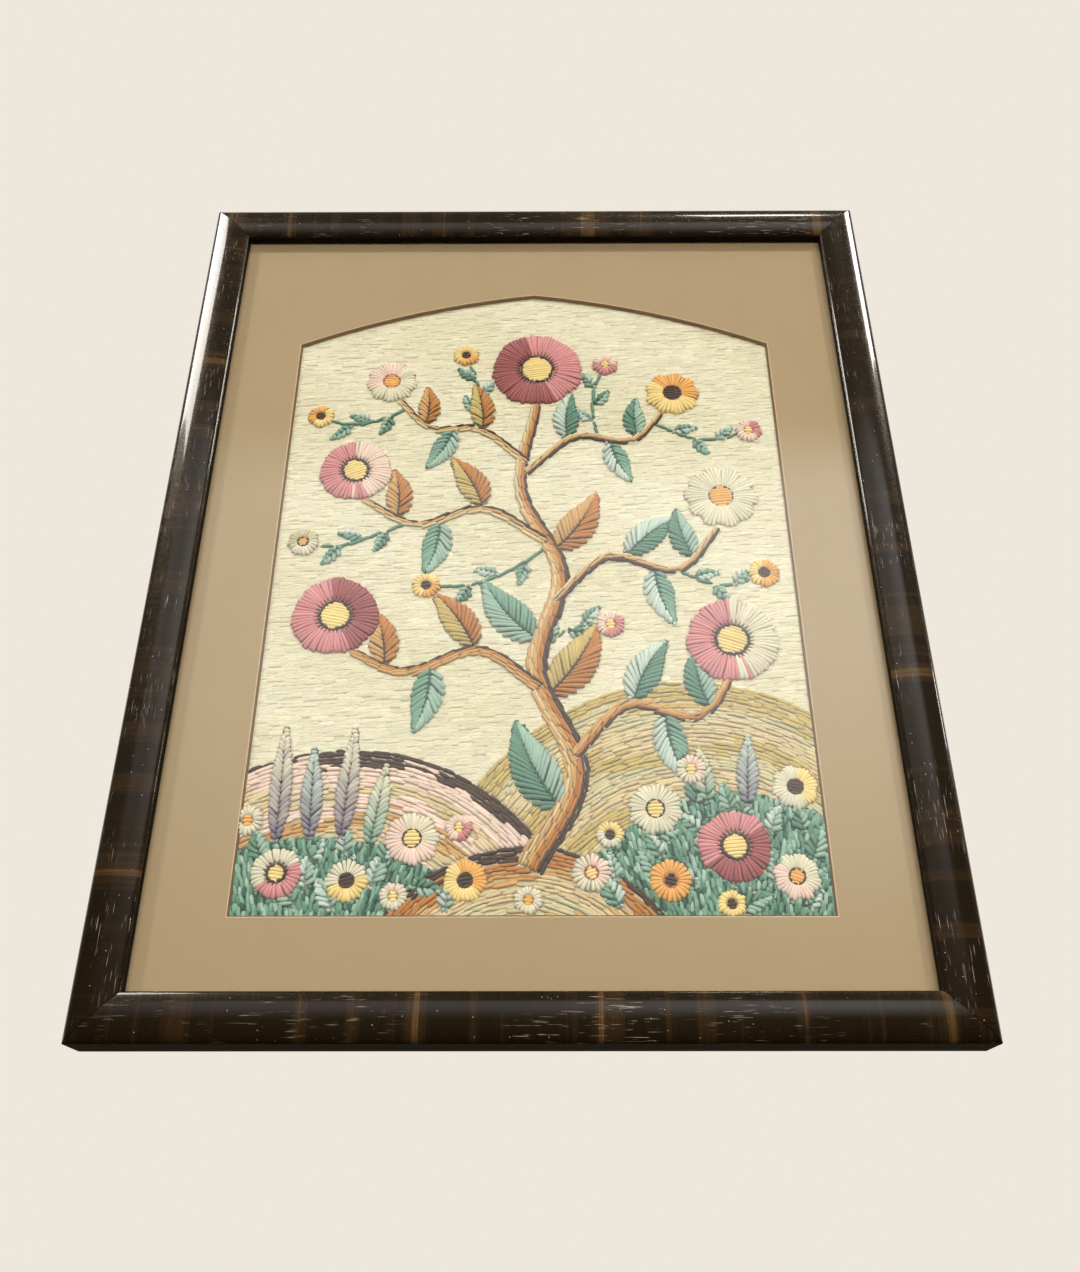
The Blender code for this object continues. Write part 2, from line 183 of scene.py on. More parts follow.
FLOWERS = (
    # x, z, radius, petals (0 where it is plain round), two petal wools, ring, centre
    (2.0, 416.0, 30.0, 0, "pink", "rose", "brown", "yellow"),
    (112.0, 218.0, 27.0, 0, "cream", "pink", "brown", "yellow"),
    (-113.0, 234.0, 26.0, 0, "rose", "pink", "brown", "yellow"),
    (113.0, 316.0, 23.0, 10, "cream", "cream", "brown", "peach"),
    (-109.0, 336.0, 23.0, 0, "blush", "pink", "brown", "yellow"),
    (88.0, 396.0, 18.0, 9, "peach", "yellow", "brown", "brown"),
    (-91.0, 406.0, 17.0, 9, "cream", "blush", "rose", "peach"),
    (104.0, 98.0, 20.0, 0, "rose", "pink", "brown", "yellow"),
    (64.0, 118.0, 15.0, 8, "cream", "cream", "brown", "yellow"),
    (138.0, 130.0, 13.0, 8, "yellow", "cream", "brown", "brown"),
    (-62.0, 102.0, 15.0, 8, "cream", "blush", "brown", "yellow"),
    (-34.0, 80.0, 12.0, 7, "peach", "yellow", "brown", "brown"),
    (30.0, 84.0, 11.0, 7, "blush", "cream", "rose", "yellow"),
    (70.0, 80.0, 12.0, 8, "peach", "peach", "rust", "brown"),
    (134.0, 82.0, 13.0, 8, "cream", "blush", "brown", "peach"),
    (-130.0, 84.0, 14.0, 0, "pink", "cream", "brown", "yellow"),
    (-94.0, 80.0, 12.0, 8, "yellow", "cream", "brown", "brown"),
    (134.0, 262.0, 10.0, 7, "peach", "yellow", "brown", "brown"),
    (-136.0, 284.0, 10.0, 7, "cream", "straw", "brown", "peach"),
    (46.0, 420.0, 9.0, 6, "blush", "pink", "rose", "yellow"),
    (-44.0, 428.0, 9.0, 6, "peach", "yellow", "brown", "brown"),
    (134.0, 366.0, 9.0, 6, "pink", "blush", "rose", "yellow"),
    (-134.0, 378.0, 9.0, 6, "yellow", "peach", "brown", "brown"),
    (44.0, 228.0, 9.0, 6, "pink", "blush", "brown", "yellow"),
    (-62.0, 254.0, 9.0, 6, "peach", "yellow", "brown", "brown"),
    (40.0, 104.0, 8.0, 6, "yellow", "cream", "brown", "brown"),
    (84.0, 140.0, 9.0, 6, "blush", "cream", "rose", "yellow"),
    (-148.0, 112.0, 9.0, 6, "cream", "cream", "brown", "peach"),
    (-38.0, 108.0, 8.0, 6, "pink", "blush", "rose", "yellow"),
    (-70.0, 72.0, 8.0, 6, "blush", "cream", "rose", "yellow"),
    (100.0, 68.0, 8.0, 6, "yellow", "yellow", "brown", "brown"),
    (-2.0, 70.0, 8.0, 6, "cream", "cream", "brown", "peach"),
)
FLOWER_CENTRE = 0.36

SPRIG_SPACING = 19.0
SPRIG_LENGTH = 21.0
SPRIG_WIDTH = 12.0
SPRIG_WOOLS = (("sea", "silver"), ("sage", "sea"), ("silver", "sage"), ("teal", "sage"))

SPIKES = (
    # x, foot z, height, lean in degrees, lower wool, upper wool
    (-84.0, 96.0, 50.0, -8.0, "sea", "cream"),
    (-99.0, 100.0, 68.0, -3.0, "lilac", "cream"),
    (-115.0, 100.0, 56.0, 2.0, "lilac", "silver"),
    (-132.0, 98.0, 72.0, 1.0, "lilac", "cream"),
    (112.0, 118.0, 44.0, -5.0, "lilac", "silver"),
    (92.0, 120.0, 34.0, 6.0, "sea", "cream"),
)
SPIKE_WIDTH = 12.0


def linear(red, green, blue):
    """Scene-linear colour from 0 to 255 display values."""
    shares = [value / 255 for value in (red, green, blue)]
    return tuple(s / 12.92 if s <= 0.04045 else ((s + 0.055) / 1.055) ** 2.4 for s in shares)


def wool_colour(name, red, green, blue):
    return FloatVectorProperty(
        name=name.capitalize(),
        description=f"Wool dyed {name}",
        subtype="COLOR",
        size=3,
        min=0.0,
        max=1.0,
        default=linear(red, green, blue),
    )


def length_setting(name, description, default):
    return FloatProperty(name=name, description=description, default=default, unit="LENGTH")


class PanelSizes(bpy.types.PropertyGroup):
    """Sizes of the stitching that a user would change."""

    strand_width: length_setting("Strand width", "Width of one laid strand", 2.15 * MM)
    strand_rise: length_setting("Strand rise", "Height of one laid strand", 1.15 * MM)
    row_pitch: length_setting("Row pitch", "Distance between rows of ground stitches", 2.05 * MM)
    satin_pitch: length_setting("Satin pitch", "Distance between satin stitches", 2.1 * MM)
    long_stitch: length_setting("Long stitch", "Usual length of a ground stitch", 10.0 * MM)
    short_stitch: length_setting("Short stitch", "Length of the shortest stitch kept", 1.6 * MM)
    twist_pitch: length_setting("Twist pitch", "Length of one turn of a strand's twist", 7.5 * MM)
    seed: IntProperty(name="Seed", description="Which hand-laid variation is drawn", default=7)


class PanelWools(bpy.types.PropertyGroup):
    """Colours of the wools."""

    cream: wool_colour("cream", 234, 224, 198)
    straw: wool_colour("straw", 218, 204, 163)
    sand: wool_colour("sand", 226, 202, 158)
    yellow: wool_colour("yellow", 252, 222, 150)
    ochre: wool_colour("ochre", 208, 182, 116)
    peach: wool_colour("peach", 246, 184, 104)
    tan: wool_colour("tan", 216, 168, 108)
    rust: wool_colour("rust", 196, 130, 68)
    brown: wool_colour("brown", 88, 68, 56)
    blush: wool_colour("blush", 246, 216, 200)
    pink: wool_colour("pink", 222, 150, 150)
    rose: wool_colour("rose", 172, 98, 98)
    lilac: wool_colour("lilac", 138, 122, 140)
    silver: wool_colour("silver", 204, 216, 204)
    sage: wool_colour("sage", 168, 194, 176)
    sea: wool_colour("sea", 134, 170, 149)
    teal: wool_colour("teal", 108, 147, 125)
    pine: wool_colour("pine", 72, 106, 90)


class PanelFinishes(bpy.types.PropertyGroup):
    """Colours of the frame, the mat and the boards."""

    veneer: wool_colour("veneer", 27, 19, 9)
    veneer_band: wool_colour("veneer band", 78, 56, 29)
    side_strip: wool_colour("side strip", 86, 77, 56)
    lip: wool_colour("lip", 12, 10, 8)
    raw_wood: wool_colour("raw wood", 150, 116, 80)
    mat_face: wool_colour("mat face", 173, 148, 114)
    # The cut face: the mat's brown core, darkened further as painted shade.
    mat_cut: wool_colour("mat cut", 126, 96, 66)
    mat_edge: wool_colour("mat edge", 210, 186, 152)
    linen: wool_colour("linen", 230, 218, 186)
    board: wool_colour("backing board", 122, 88, 58)


def sizes():
    return bpy.context.scene.panel_sizes


def wool(name):
    """One wool's colour as an array."""
    return np.array(getattr(bpy.context.scene.panel_wools, name)[:])


def finish_colour(name):
    return (*getattr(bpy.context.scene.panel_finishes, name)[:], 1.0)


class Number:
    """A number socket that takes part in ordinary arithmetic."""

    def __init__(self, finish, socket):
        self.finish = finish
        self.socket = socket

    def combine(self, operation, first, second):
        node = self.finish.add("ShaderNodeMath", {"operation": operation}, {0: first, 1: second})
        return Number(self.finish, node.outputs[0])

    def __add__(self, other):
        return self.combine("ADD", self, other)

    def __radd__(self, other):
        return self.combine("ADD", other, self)

    def __sub__(self, other):
        return self.combine("SUBTRACT", self, other)

    def __rsub__(self, other):
        return self.combine("SUBTRACT", other, self)

    def __mul__(self, other):
        return self.combine("MULTIPLY", self, other)

    def __rmul__(self, other):
        return self.combine("MULTIPLY", other, self)

    def __pow__(self, other):
        return self.combine("POWER", self, other)


class Nodes:
    """A node tree whose nodes are all added by one method."""

    def __init__(self, tree):
        self.tree = tree
        self.tree.nodes.clear()

    def add(self, kind, settings=None, sockets=None):
        node = self.tree.nodes.new(kind)
        for name, value in (settings or {}).items():
            setattr(node, name, value)
        for key, value in (sockets or {}).items():
            if isinstance(value, Number):
                value = value.socket
            if isinstance(value, bpy.types.NodeSocket):
                self.tree.links.new(value, node.inputs[key])
            else:
                node.inputs[key].default_value = value
        return node

    def number(self, node, output=0):
        return Number(self, node.outputs[output])

    def ramp(self, value, low, high, upside_down=False):
        """The value let up smoothly from 0 at low to 1 at high, or down the other way."""
        ends = (1.0, 0.0) if upside_down else (0.0, 1.0)
        sockets = {"Value": value, 1: low, 2: high, 3: ends[0], 4: ends[1]}
        settings = {"interpolation_type": "SMOOTHSTEP"}
        return self.number(self.add("ShaderNodeMapRange", settings, sockets))

    def mix(self, share, first, second):
        """A colour between the first and the second."""
        sockets = {0: share, 6: first, 7: second}
        return self.add("ShaderNodeMix", {"data_type": "RGBA"}, sockets).outputs[2]

    def scaled(self, colour, amount):
        """A colour made lighter or darker."""
        first = colour if isinstance(colour, bpy.types.NodeSocket) else colour[:3]
        settings, sockets = {"operation": "SCALE"}, {0: first, "Scale": amount}
        return self.add("ShaderNodeVectorMath", settings, sockets).outputs[0]


class Finish(Nodes):
    """A material."""

    def __init__(self, name):
        self.material = bpy.data.materials.new(name)
        self.material.use_nodes = True
        super().__init__(self.material.node_tree)

    def place(self, stretch=(1.0, 1.0, 1.0)):
        """Object coordinates in metres, each axis stretched."""
        where = self.add("ShaderNodeTexCoord").outputs["Object"]
        return self.add("ShaderNodeMapping", {}, {"Vector": where, "Scale": stretch}).outputs["Vector"]

    def noise(self, scale, stretch=(1.0, 1.0, 1.0), detail=3.0, rough=0.55):
        """Even noise from 0 to 1, with scale in waves to the metre."""
        sockets = {"Vector": self.place(stretch), "Scale": scale, "Detail": detail, "Roughness": rough}
        return self.number(self.add("ShaderNodeTexNoise", {}, sockets), "Fac")

    def specks(self, scale, size):
        """Round specks: 1 inside each speck and 0 between, with its radius in cells."""
        sockets = {"Vector": self.place(), "Scale": scale}
        cells = self.number(self.add("ShaderNodeTexVoronoi", {}, sockets), "Distance")
        return self.ramp(cells, size * 0.6, size, upside_down=True)

    def threads(self, direction):
        """Waves from 0 to 1 across threads that lie side by side along a direction."""
        sockets = {0: self.place(), "Scale": 260.0}
        return self.number(self.add("ShaderNodeTexWave", {"bands_direction": direction}, sockets), 1)

    def bump(self, height, depth):
        """A normal from a height between 0 and 1 that stands for a depth in metres."""
        sockets = {"Height": height, "Distance": depth}
        return self.add("ShaderNodeBump", {}, sockets).outputs[0]

    def principled(self, **sockets):
        """The surface shader, its sockets named in small letters with low lines between words."""
        named = {}
        for key, value in sockets.items():
            named[key.replace("_", " ").title().replace("Ior", "IOR")] = value
        return self.add("ShaderNodeBsdfPrincipled", {}, named).outputs[0]

    def done(self, shader):
        self.add("ShaderNodeOutputMaterial", {}, {"Surface": shader})
        return self.material


def wool_finish():
    """Plied wool: the strand's colour with its painted shade, a twist that follows it with painted
    shade in its grooves, and a soft fibrous surface.
    """
    finish = Finish("wool")
    # This attribute holds each strand's dye with painted shade baked in: darker on its sides, feet and
    # ends.
    dyed = finish.add("ShaderNodeAttribute", {"attribute_name": "dye"}).outputs["Color"]
    strand = finish.add("ShaderNodeAttribute", {"attribute_name": "strand"}).outputs["Vector"]
    parts = finish.add("ShaderNodeSeparateXYZ", {}, {0: strand})
    along, around = finish.number(parts, 0), finish.number(parts, 1)
    turn = along * (2 * math.pi * MM / sizes().twist_pitch) + around * (2 * math.pi * 4)
    wave = finish.number(finish.add("ShaderNodeMath", {"operation": "SINE"}, {0: turn}))
    ply = wave * 0.5 + 0.5
    fibres = finish.noise(1900.0, detail=4.0, rough=0.7)
    slubs = finish.noise(330.0, detail=2.0)
    # The ply wave paints shade into the grooves of the twist; the fibres and slubs vary the tone at
    # random.
    tone = 0.77 + ply * 0.15 + fibres * 0.14 + slubs * 0.12
    height = ply * 0.6 + fibres * 0.5
    surface = finish.principled(
        base_color=finish.scaled(dyed, tone),
        roughness=finish.ramp(fibres, 0.2, 0.8) * 0.12 + 0.8,
        normal=finish.bump(height, 0.00014),
        sheen_weight=0.2,
        sheen_roughness=0.5,
    )
    return finish.done(surface)


def linen_finish():
    """Plain-weave linen ground, its colour painted darker between the threads as shade."""
    finish = Finish("linen")
    weave = finish.threads("X") * finish.threads("Z")
    surface = finish.principled(
        # The weave wave lightens the thread crowns and paints shade between the threads; it also sets
        # the bump.
        base_color=finish.scaled(finish_colour("linen"), 0.8 + weave * 0.2),
        roughness=weave * 0.1 + 0.85,
        normal=finish.bump(weave, 0.0002),
    )
    return finish.done(surface)


def veneer_finish(name, upright):
    """Dark veneer with its grain across the rail and some browner bands, under gloss lacquer."""
    finish = Finish(name)
    across = (0.015, 0.015, 1.0) if upright else (1.0, 0.015, 0.015)
    lengthwise = (1.0, 1.0, 0.03) if upright else (0.03, 1.0, 1.0)
    fine = finish.noise(1600.0, across, detail=4.0, rough=0.7)
    broad = finish.noise(44.0, across, detail=4.0, rough=0.6)
    bands = finish.ramp(broad, 0.5, 0.57) * 0.22 + finish.ramp(broad, 0.61, 0.622) * 0.78
    cloud = finish.noise(38.0, detail=3.0)
    warm = bands * finish.ramp(fine, 0.1, 0.6) * finish.ramp(cloud, 0.2, 0.5)
    wood = finish.mix(warm, finish_colour("veneer"), finish_colour("veneer_band"))
    wood = finish.scaled(wood, fine * 0.9 + cloud * 0.5 + 0.35)
    dashes = finish.ramp(finish.noise(2600.0, lengthwise, detail=1.0), 0.67, 0.73)
    worn = dashes * finish.ramp(finish.noise(30.0), 0.46, 0.62)
    dust = finish.specks(200.0, 0.05)
    marked = finish.mix(worn * 0.7, wood, (0.42, 0.37, 0.3, 1.0))
    hazy = finish.noise(520.0, detail=5.0, rough=0.75)
    surface = finish.principled(
        base_color=finish.mix(dust * 0.8, marked, (0.75, 0.72, 0.66, 1.0)),
        roughness=finish.ramp(hazy, 0.3, 0.8) * 0.16 + 0.22,
        normal=finish.bump(fine * 0.5 + hazy * 0.5, 0.000035),
        specular_ior_level=0.12,
        specular_tint=(1.0, 0.8, 0.5, 1.0),
        coat_weight=0.5,
        coat_roughness=0.06,
    )
    return finish.done(surface)


def painted_finish(name, colour_name, roughness, grain):
    """Brushed-on colour with a little unevenness."""
    finish = Finish(name)
    streaks = finish.noise(500.0, grain, detail=4.0)
    patches = finish.noise(45.0, detail=3.0)
    surface = finish.principled(
        base_color=finish.scaled(finish_colour(colour_name), 0.7 + streaks * 0.4 + patches * 0.25),
        roughness=patches * 0.15 + roughness,
        normal=finish.bump(streaks, 0.00004),
        specular_ior_level=0.1,
    )
    return finish.done(surface)


def card_finish(name, colour_name):
    """Smooth mat card: a faint mottle and a paper tooth."""
    finish = Finish(name)
    tooth = finish.noise(2400.0, detail=4.0, rough=0.7)
    mottle = finish.noise(26.0, detail=4.0)
    surface = finish.principled(
        base_color=finish.scaled(finish_colour(colour_name), 0.93 + tooth * 0.05 + mottle * 0.08),
        roughness=tooth * 0.1 + 0.75,
        normal=finish.bump(tooth, 0.000012),
        specular_ior_level=0.3,
    )
    return finish.done(surface)


def glass_finish():
    """Clear glass that mirrors more at a slant, the same on both faces, with a little dust."""
    finish = Finish("picture_glass")
    mirror = finish.add("ShaderNodeBsdfGlossy", {}, {"Roughness": 0.0}).outputs[0]
    clear = finish.add("ShaderNodeBsdfTransparent", {}, {0: (0.97, 0.98, 0.97, 1.0)}).outputs[0]
    slant = finish.number(finish.add("ShaderNodeLayerWeight", {}, {"Blend": 0.5}), "Facing")
    pane = finish.add("ShaderNodeMixShader", {}, {0: slant**5 * 0.9 + 0.035, 1: clear, 2: mirror})
    dust = finish.specks(150.0, 0.045)
    speck = finish.add("ShaderNodeBsdfDiffuse", {}, {0: (0.85, 0.8, 0.7, 1.0)}).outputs[0]
    mixed = finish.add("ShaderNodeMixShader", {}, {0: dust * 0.6, 1: pane.outputs[0], 2: speck})
    return finish.done(mixed.outputs[0])


def deselect_all():
    bpy.ops.object.select_all(action="DESELECT")


def activate(piece):
    deselect_all()
    piece.select_set(True)
    bpy.context.view_layer.objects.active = piece


def merged_copy(node, name):
    """A new piece with a node's shape, its loose triangles merged into whole flat faces."""
    piece = bpy.data.objects.new(name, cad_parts[node].data.copy())
    piece.data.materials.clear()
    bpy.context.scene.collection.objects.link(piece)
    activate(piece)
    bpy.ops.object.mode_set(mode="EDIT")
    bpy.ops.mesh.select_all(action="SELECT")
    bpy.ops.mesh.remove_doubles(threshold=0.00001)
    bpy.ops.mesh.dissolve_limited(angle_limit=math.radians(0.5))
    bpy.ops.object.mode_set(mode="OBJECT")
    return piece


def select_edges(piece, chosen):
    """Select the edges whose middle and direction the test accepts."""
    mesh = piece.data
    bpy.ops.object.mode_set(mode="EDIT")
    bpy.ops.mesh.select_mode(type="EDGE")
    bpy.ops.mesh.select_all(action="DESELECT")
    bpy.ops.object.mode_set(mode="OBJECT")
    for edge in mesh.edges:
        first, second = (mesh.vertices[index].co for index in edge.vertices)
        edge.select = chosen(first, second)
    bpy.ops.object.mode_set(mode="EDIT")


def evenly(line, station, fewest=3):
    """The line's places again, at even steps of about one station."""
    steps = np.linalg.norm(np.diff(line, axis=0), axis=1)
    lengths = np.concatenate([[0.0], np.cumsum(steps)])
    count = max(fewest, round(lengths[-1] / station))
    wanted = np.linspace(0, lengths[-1], count + 1)
    return np.stack([np.interp(wanted, lengths, line[:, axis]) for axis in (0, 1)], axis=1)


def along(places):
    """Unit directions along a line at each of its places."""
    directions = np.gradient(places, axis=0)
    return directions / np.linalg.norm(directions, axis=1)[:, None]


def curve_through(points, station):
    """Even stations along a smooth curve through the points, as (places, directions) arrays."""
    knots = np.array(points, float)
    knots = np.vstack([2 * knots[0] - knots[1], knots, 2 * knots[-1] - knots[-2]])
    share = np.linspace(0, 1, 24, endpoint=False)[:, None]
    spans = []
    for before, start, end, after in zip(knots, knots[1:], knots[2:], knots[3:]):
        bend = (2 * before - 5 * start + 4 * end - after) * share**2
        twist = (3 * start - before - 3 * end + after) * share**3
        spans.append(0.5 * (2 * start + (end - before) * share + bend + twist))
    places = evenly(np.vstack(spans + [knots[-2:-1]]), station)
    return places, along(places)


def left_of(directions):
    """Left-hand normals of directions in the panel's plane."""
    return np.stack([-directions[..., 1], directions[..., 0]], axis=-1)


def arch_centre():
    """Centre of the arc that carries the right half of the window's top."""
    shoulder = np.array([WINDOW_HALF, WINDOW_SHOULDER])
    apex = np.array([0.0, WINDOW_APEX])
    chord = apex - shoulder
    length = np.linalg.norm(chord)
    below = np.array([chord[1], -chord[0]]) / length
    below = below if below[1] < 0 else -below
    return (shoulder + apex) / 2 + below * math.sqrt(ARCH_RADIUS**2 - (length / 2) ** 2)


def inside_window(points, margin):
    """Which points lie in the window, let out all round by the margin."""
    away = np.abs(points[..., 0])
    centre = arch_centre()
    arch = np.hypot(away - centre[0], points[..., 1] - centre[1]) < ARCH_RADIUS + margin
    return arch & (away < WINDOW_HALF + margin) & (points[..., 1] > WINDOW_FOOT - margin)


class Plan:
    """Which motif shows at each place of the window, on a fine grid."""

    def __init__(self):
        margin = UNDER_MAT + 2 * CELL
        self.low = np.array([-WINDOW_HALF - margin, WINDOW_FOOT - margin])
        across = np.arange(self.low[0], WINDOW_HALF + margin, CELL)
        up = np.arange(self.low[1], WINDOW_APEX + margin, CELL)
        self.points = np.stack(np.meshgrid(across, up), axis=-1)
        self.owner = np.where(inside_window(self.points, UNDER_MAT), 0, -1)
        self.core = self.owner.copy()
        self.count = 0

    def add(self, motif):
        """Put a motif over those before it. Its core leaves a rim for stitches that tuck under it."""
        self.count += 1
        motif.number = self.count
        for chart, shrink in ((self.owner, 0.0), (self.core, TUCK)):
            chart[motif.covers(self.points, shrink) & (chart >= 0)] = motif.number

    def shows(self, points, number):
        """Whether a motif's own stitches may lie at these places."""
        cells = np.rint((points - self.low) / CELL).astype(int)
        cells = np.clip(cells, 0, np.array(self.owner.shape[::-1]) - 1)
        at = cells[..., 1], cells[..., 0]
        return (self.owner[at] == number) | (self.core[at] == number)

    def showing(self, start, end, number):
        """The longest part of a stitch that may lie on its own motif, or None."""
        length = np.linalg.norm(end - start)
        count = max(3, int(length / CELL) + 1)
        share = np.linspace(0, 1, count)
        run = longest_run(self.shows(start + (end - start) * share[:, None], number))
        if run is None:
            return None
        first, last = share[run[0]], share[run[1]]
        if (last - first) * length < sizes().short_stitch / MM:
            return None
        return start + (end - start) * first, start + (end - start) * last


def true_runs(hits):
    """First and last index of each run of True."""
    edges = np.flatnonzero(np.diff(np.concatenate([[False], hits, [False]]).astype(int)))
    return [(first, last - 1) for first, last in zip(edges[::2], edges[1::2])]


def longest_run(hits):
    runs = true_runs(hits)
    return max(runs, key=lambda run: run[1] - run[0]) if runs else None


def off_line(points, places):
    """Share of the way along a line and the signed distance to its left, for every point."""
    shape = points.shape[:-1]
    flat = points.reshape(-1, 2)
    nearest = np.full(len(flat), np.inf)
    share = np.zeros(len(flat))
    offset = np.zeros(len(flat))
    spans = len(places) - 1
    for index in range(spans):
        run = places[index + 1] - places[index]
        reach = flat - places[index]
        part = np.clip(reach @ run / (run @ run), 0.0, 1.0)
        gap = reach - part[:, None] * run
        away = np.hypot(gap[:, 0], gap[:, 1])
        closer = away < nearest
        nearest[closer] = away[closer]
        share[closer] = (index + part[closer]) / spans
        side = np.sign(run[0] * reach[:, 1] - run[1] * reach[:, 0])
        offset[closer] = (away * side)[closer]
    return share.reshape(shape), offset.reshape(shape)


class Stitches:
    """Strands gathered one by one, in millimetres, then made into meshes."""

    def __init__(self, seed):
        self.rows = []
        self.chance = np.random.default_rng(seed)

    def lay(
        self, start, end, colour, width=1.0, ends=(1.0, 1.0), rise=1.0, pad=(0.0, 0.0, 0.0),
        bow=0.2, dive=1.2
    ):
        """One strand. Width and rise are shares of the usual strand, ends are how full its width is
        at the start and the end, pad is what lifts its start, middle and end, bow is how far it
        may bend sideways, and dive is the length over which each end goes down into the cloth."""
        chance = self.chance
        dye = np.clip(colour * chance.normal(1.0, 0.045) * chance.normal(1.0, 0.012, 3), 0.0, 1.0)
        bend = chance.uniform(-bow, bow)
        thick = width * chance.normal(1.0, 0.07)
        self.rows.append((*start, *end, bend, thick, *ends, rise, *pad, *dye, dive, chance.random()))

    def lay_along(
        self, places, hits, colour_at, usual=None, slant=0.0, loose=0.22, sink=0.0, lift=0.0,
        dive=2.6, overlap=(0.5, 1.1), **strand
    ):
        """Lay stitches of about the usual length along a row wherever hits is True. Slant leans
        each across the row, loose lets it wander off the row, sink varies how deep it is bedded,
        and overlap is how much of its dive lies beside the stitch before."""
        chance = self.chance
        usual = usual or sizes().long_stitch / MM
        step = np.linalg.norm(places[1] - places[0])
        sides = left_of(along(places))
        for first, last in true_runs(hits):
            room = (last - first) * step
            if room < sizes().short_stitch / MM:
                continue
            at = 0.0
            cut = usual * chance.uniform(0.35, 1.1)
            while at < room:
                reach = min(cut, room)
                if room - reach < 3.0:
                    reach = room
                begin = max(0.0, at - dive * chance.uniform(*overlap))
                tail, head = first + int(begin / step), min(last, first + int(reach / step))
                off = chance.normal(0.0, loose) + chance.normal(0.0, loose, 2) * 0.8
                start = places[tail] + sides[tail] * (off[0] - slant)
                end = places[head] + sides[head] * (off[1] + slant)
                colour = colour_at(start, (begin + reach) / 2 / max(room, 1.0))
                pad = (lift + chance.uniform(-sink, sink),) * 3
                self.lay(start, end, colour, pad=pad, dive=dive, **strand)
                at = reach
                cut = reach + usual * chance.uniform(0.6, 1.3)

    def make(self, name, material):
        """Meshes with the strands in them, as few and as even as their limit lets them be."""
        rows = np.array(self.rows)
        count = math.ceil(len(rows) / MOST_STRANDS)
        pieces = []
        for index, part in enumerate(np.array_split(rows, count)):
            piece_name = name if count == 1 else f"{name}_{index + 1}"
            pieces.append(strand_mesh(piece_name, part, material))
        return pieces


# A strand's section from its right foot over the top to its left foot: place to the side,
# height, and the share of its colour left after the painted shade (less on its sides and feet)
SECTION = np.array([
    (1.0, 0.0, 0.3),
    (0.84, 0.56, 0.74),
    (0.36, 0.97, 1.0),
    (-0.36, 0.97, 1.0),
    (-0.84, 0.56, 0.74),
    (-1.0, 0.0, 0.3),
])
SECTION_SIDES = len(SECTION)
# Down the strand: how full its width and its rise are, how far its foot stands over the cloth as
# a share of its rise, and the share of its colour left after the painted shade (less at its ends)
WIDTH_SHARES = np.array([0.26, 0.7, 1.0, 1.0, 1.0, 0.7, 0.26])
RISE_SHARES = np.array([0.4, 0.78, 1.0, 1.0, 1.0, 0.78, 0.4])
FOOT_SHARES = np.array([-0.45, -0.12, 0.0, 0.0, 0.0, -0.12, -0.45])
LIGHT_SHARES = np.array([0.62, 0.9, 1.0, 1.0, 1.0, 0.9, 0.62])
LONGEST_DIVE = 0.38
# Painted shade is lighter in pale wool, as light spreads more in it, so that the gaps beside it are
# less dark
DARK_WOOL_SHADE = 1.05
PALE_WOOL_SHADE = 0.28
LUMINANCE = (0.2126, 0.7152, 0.0722)


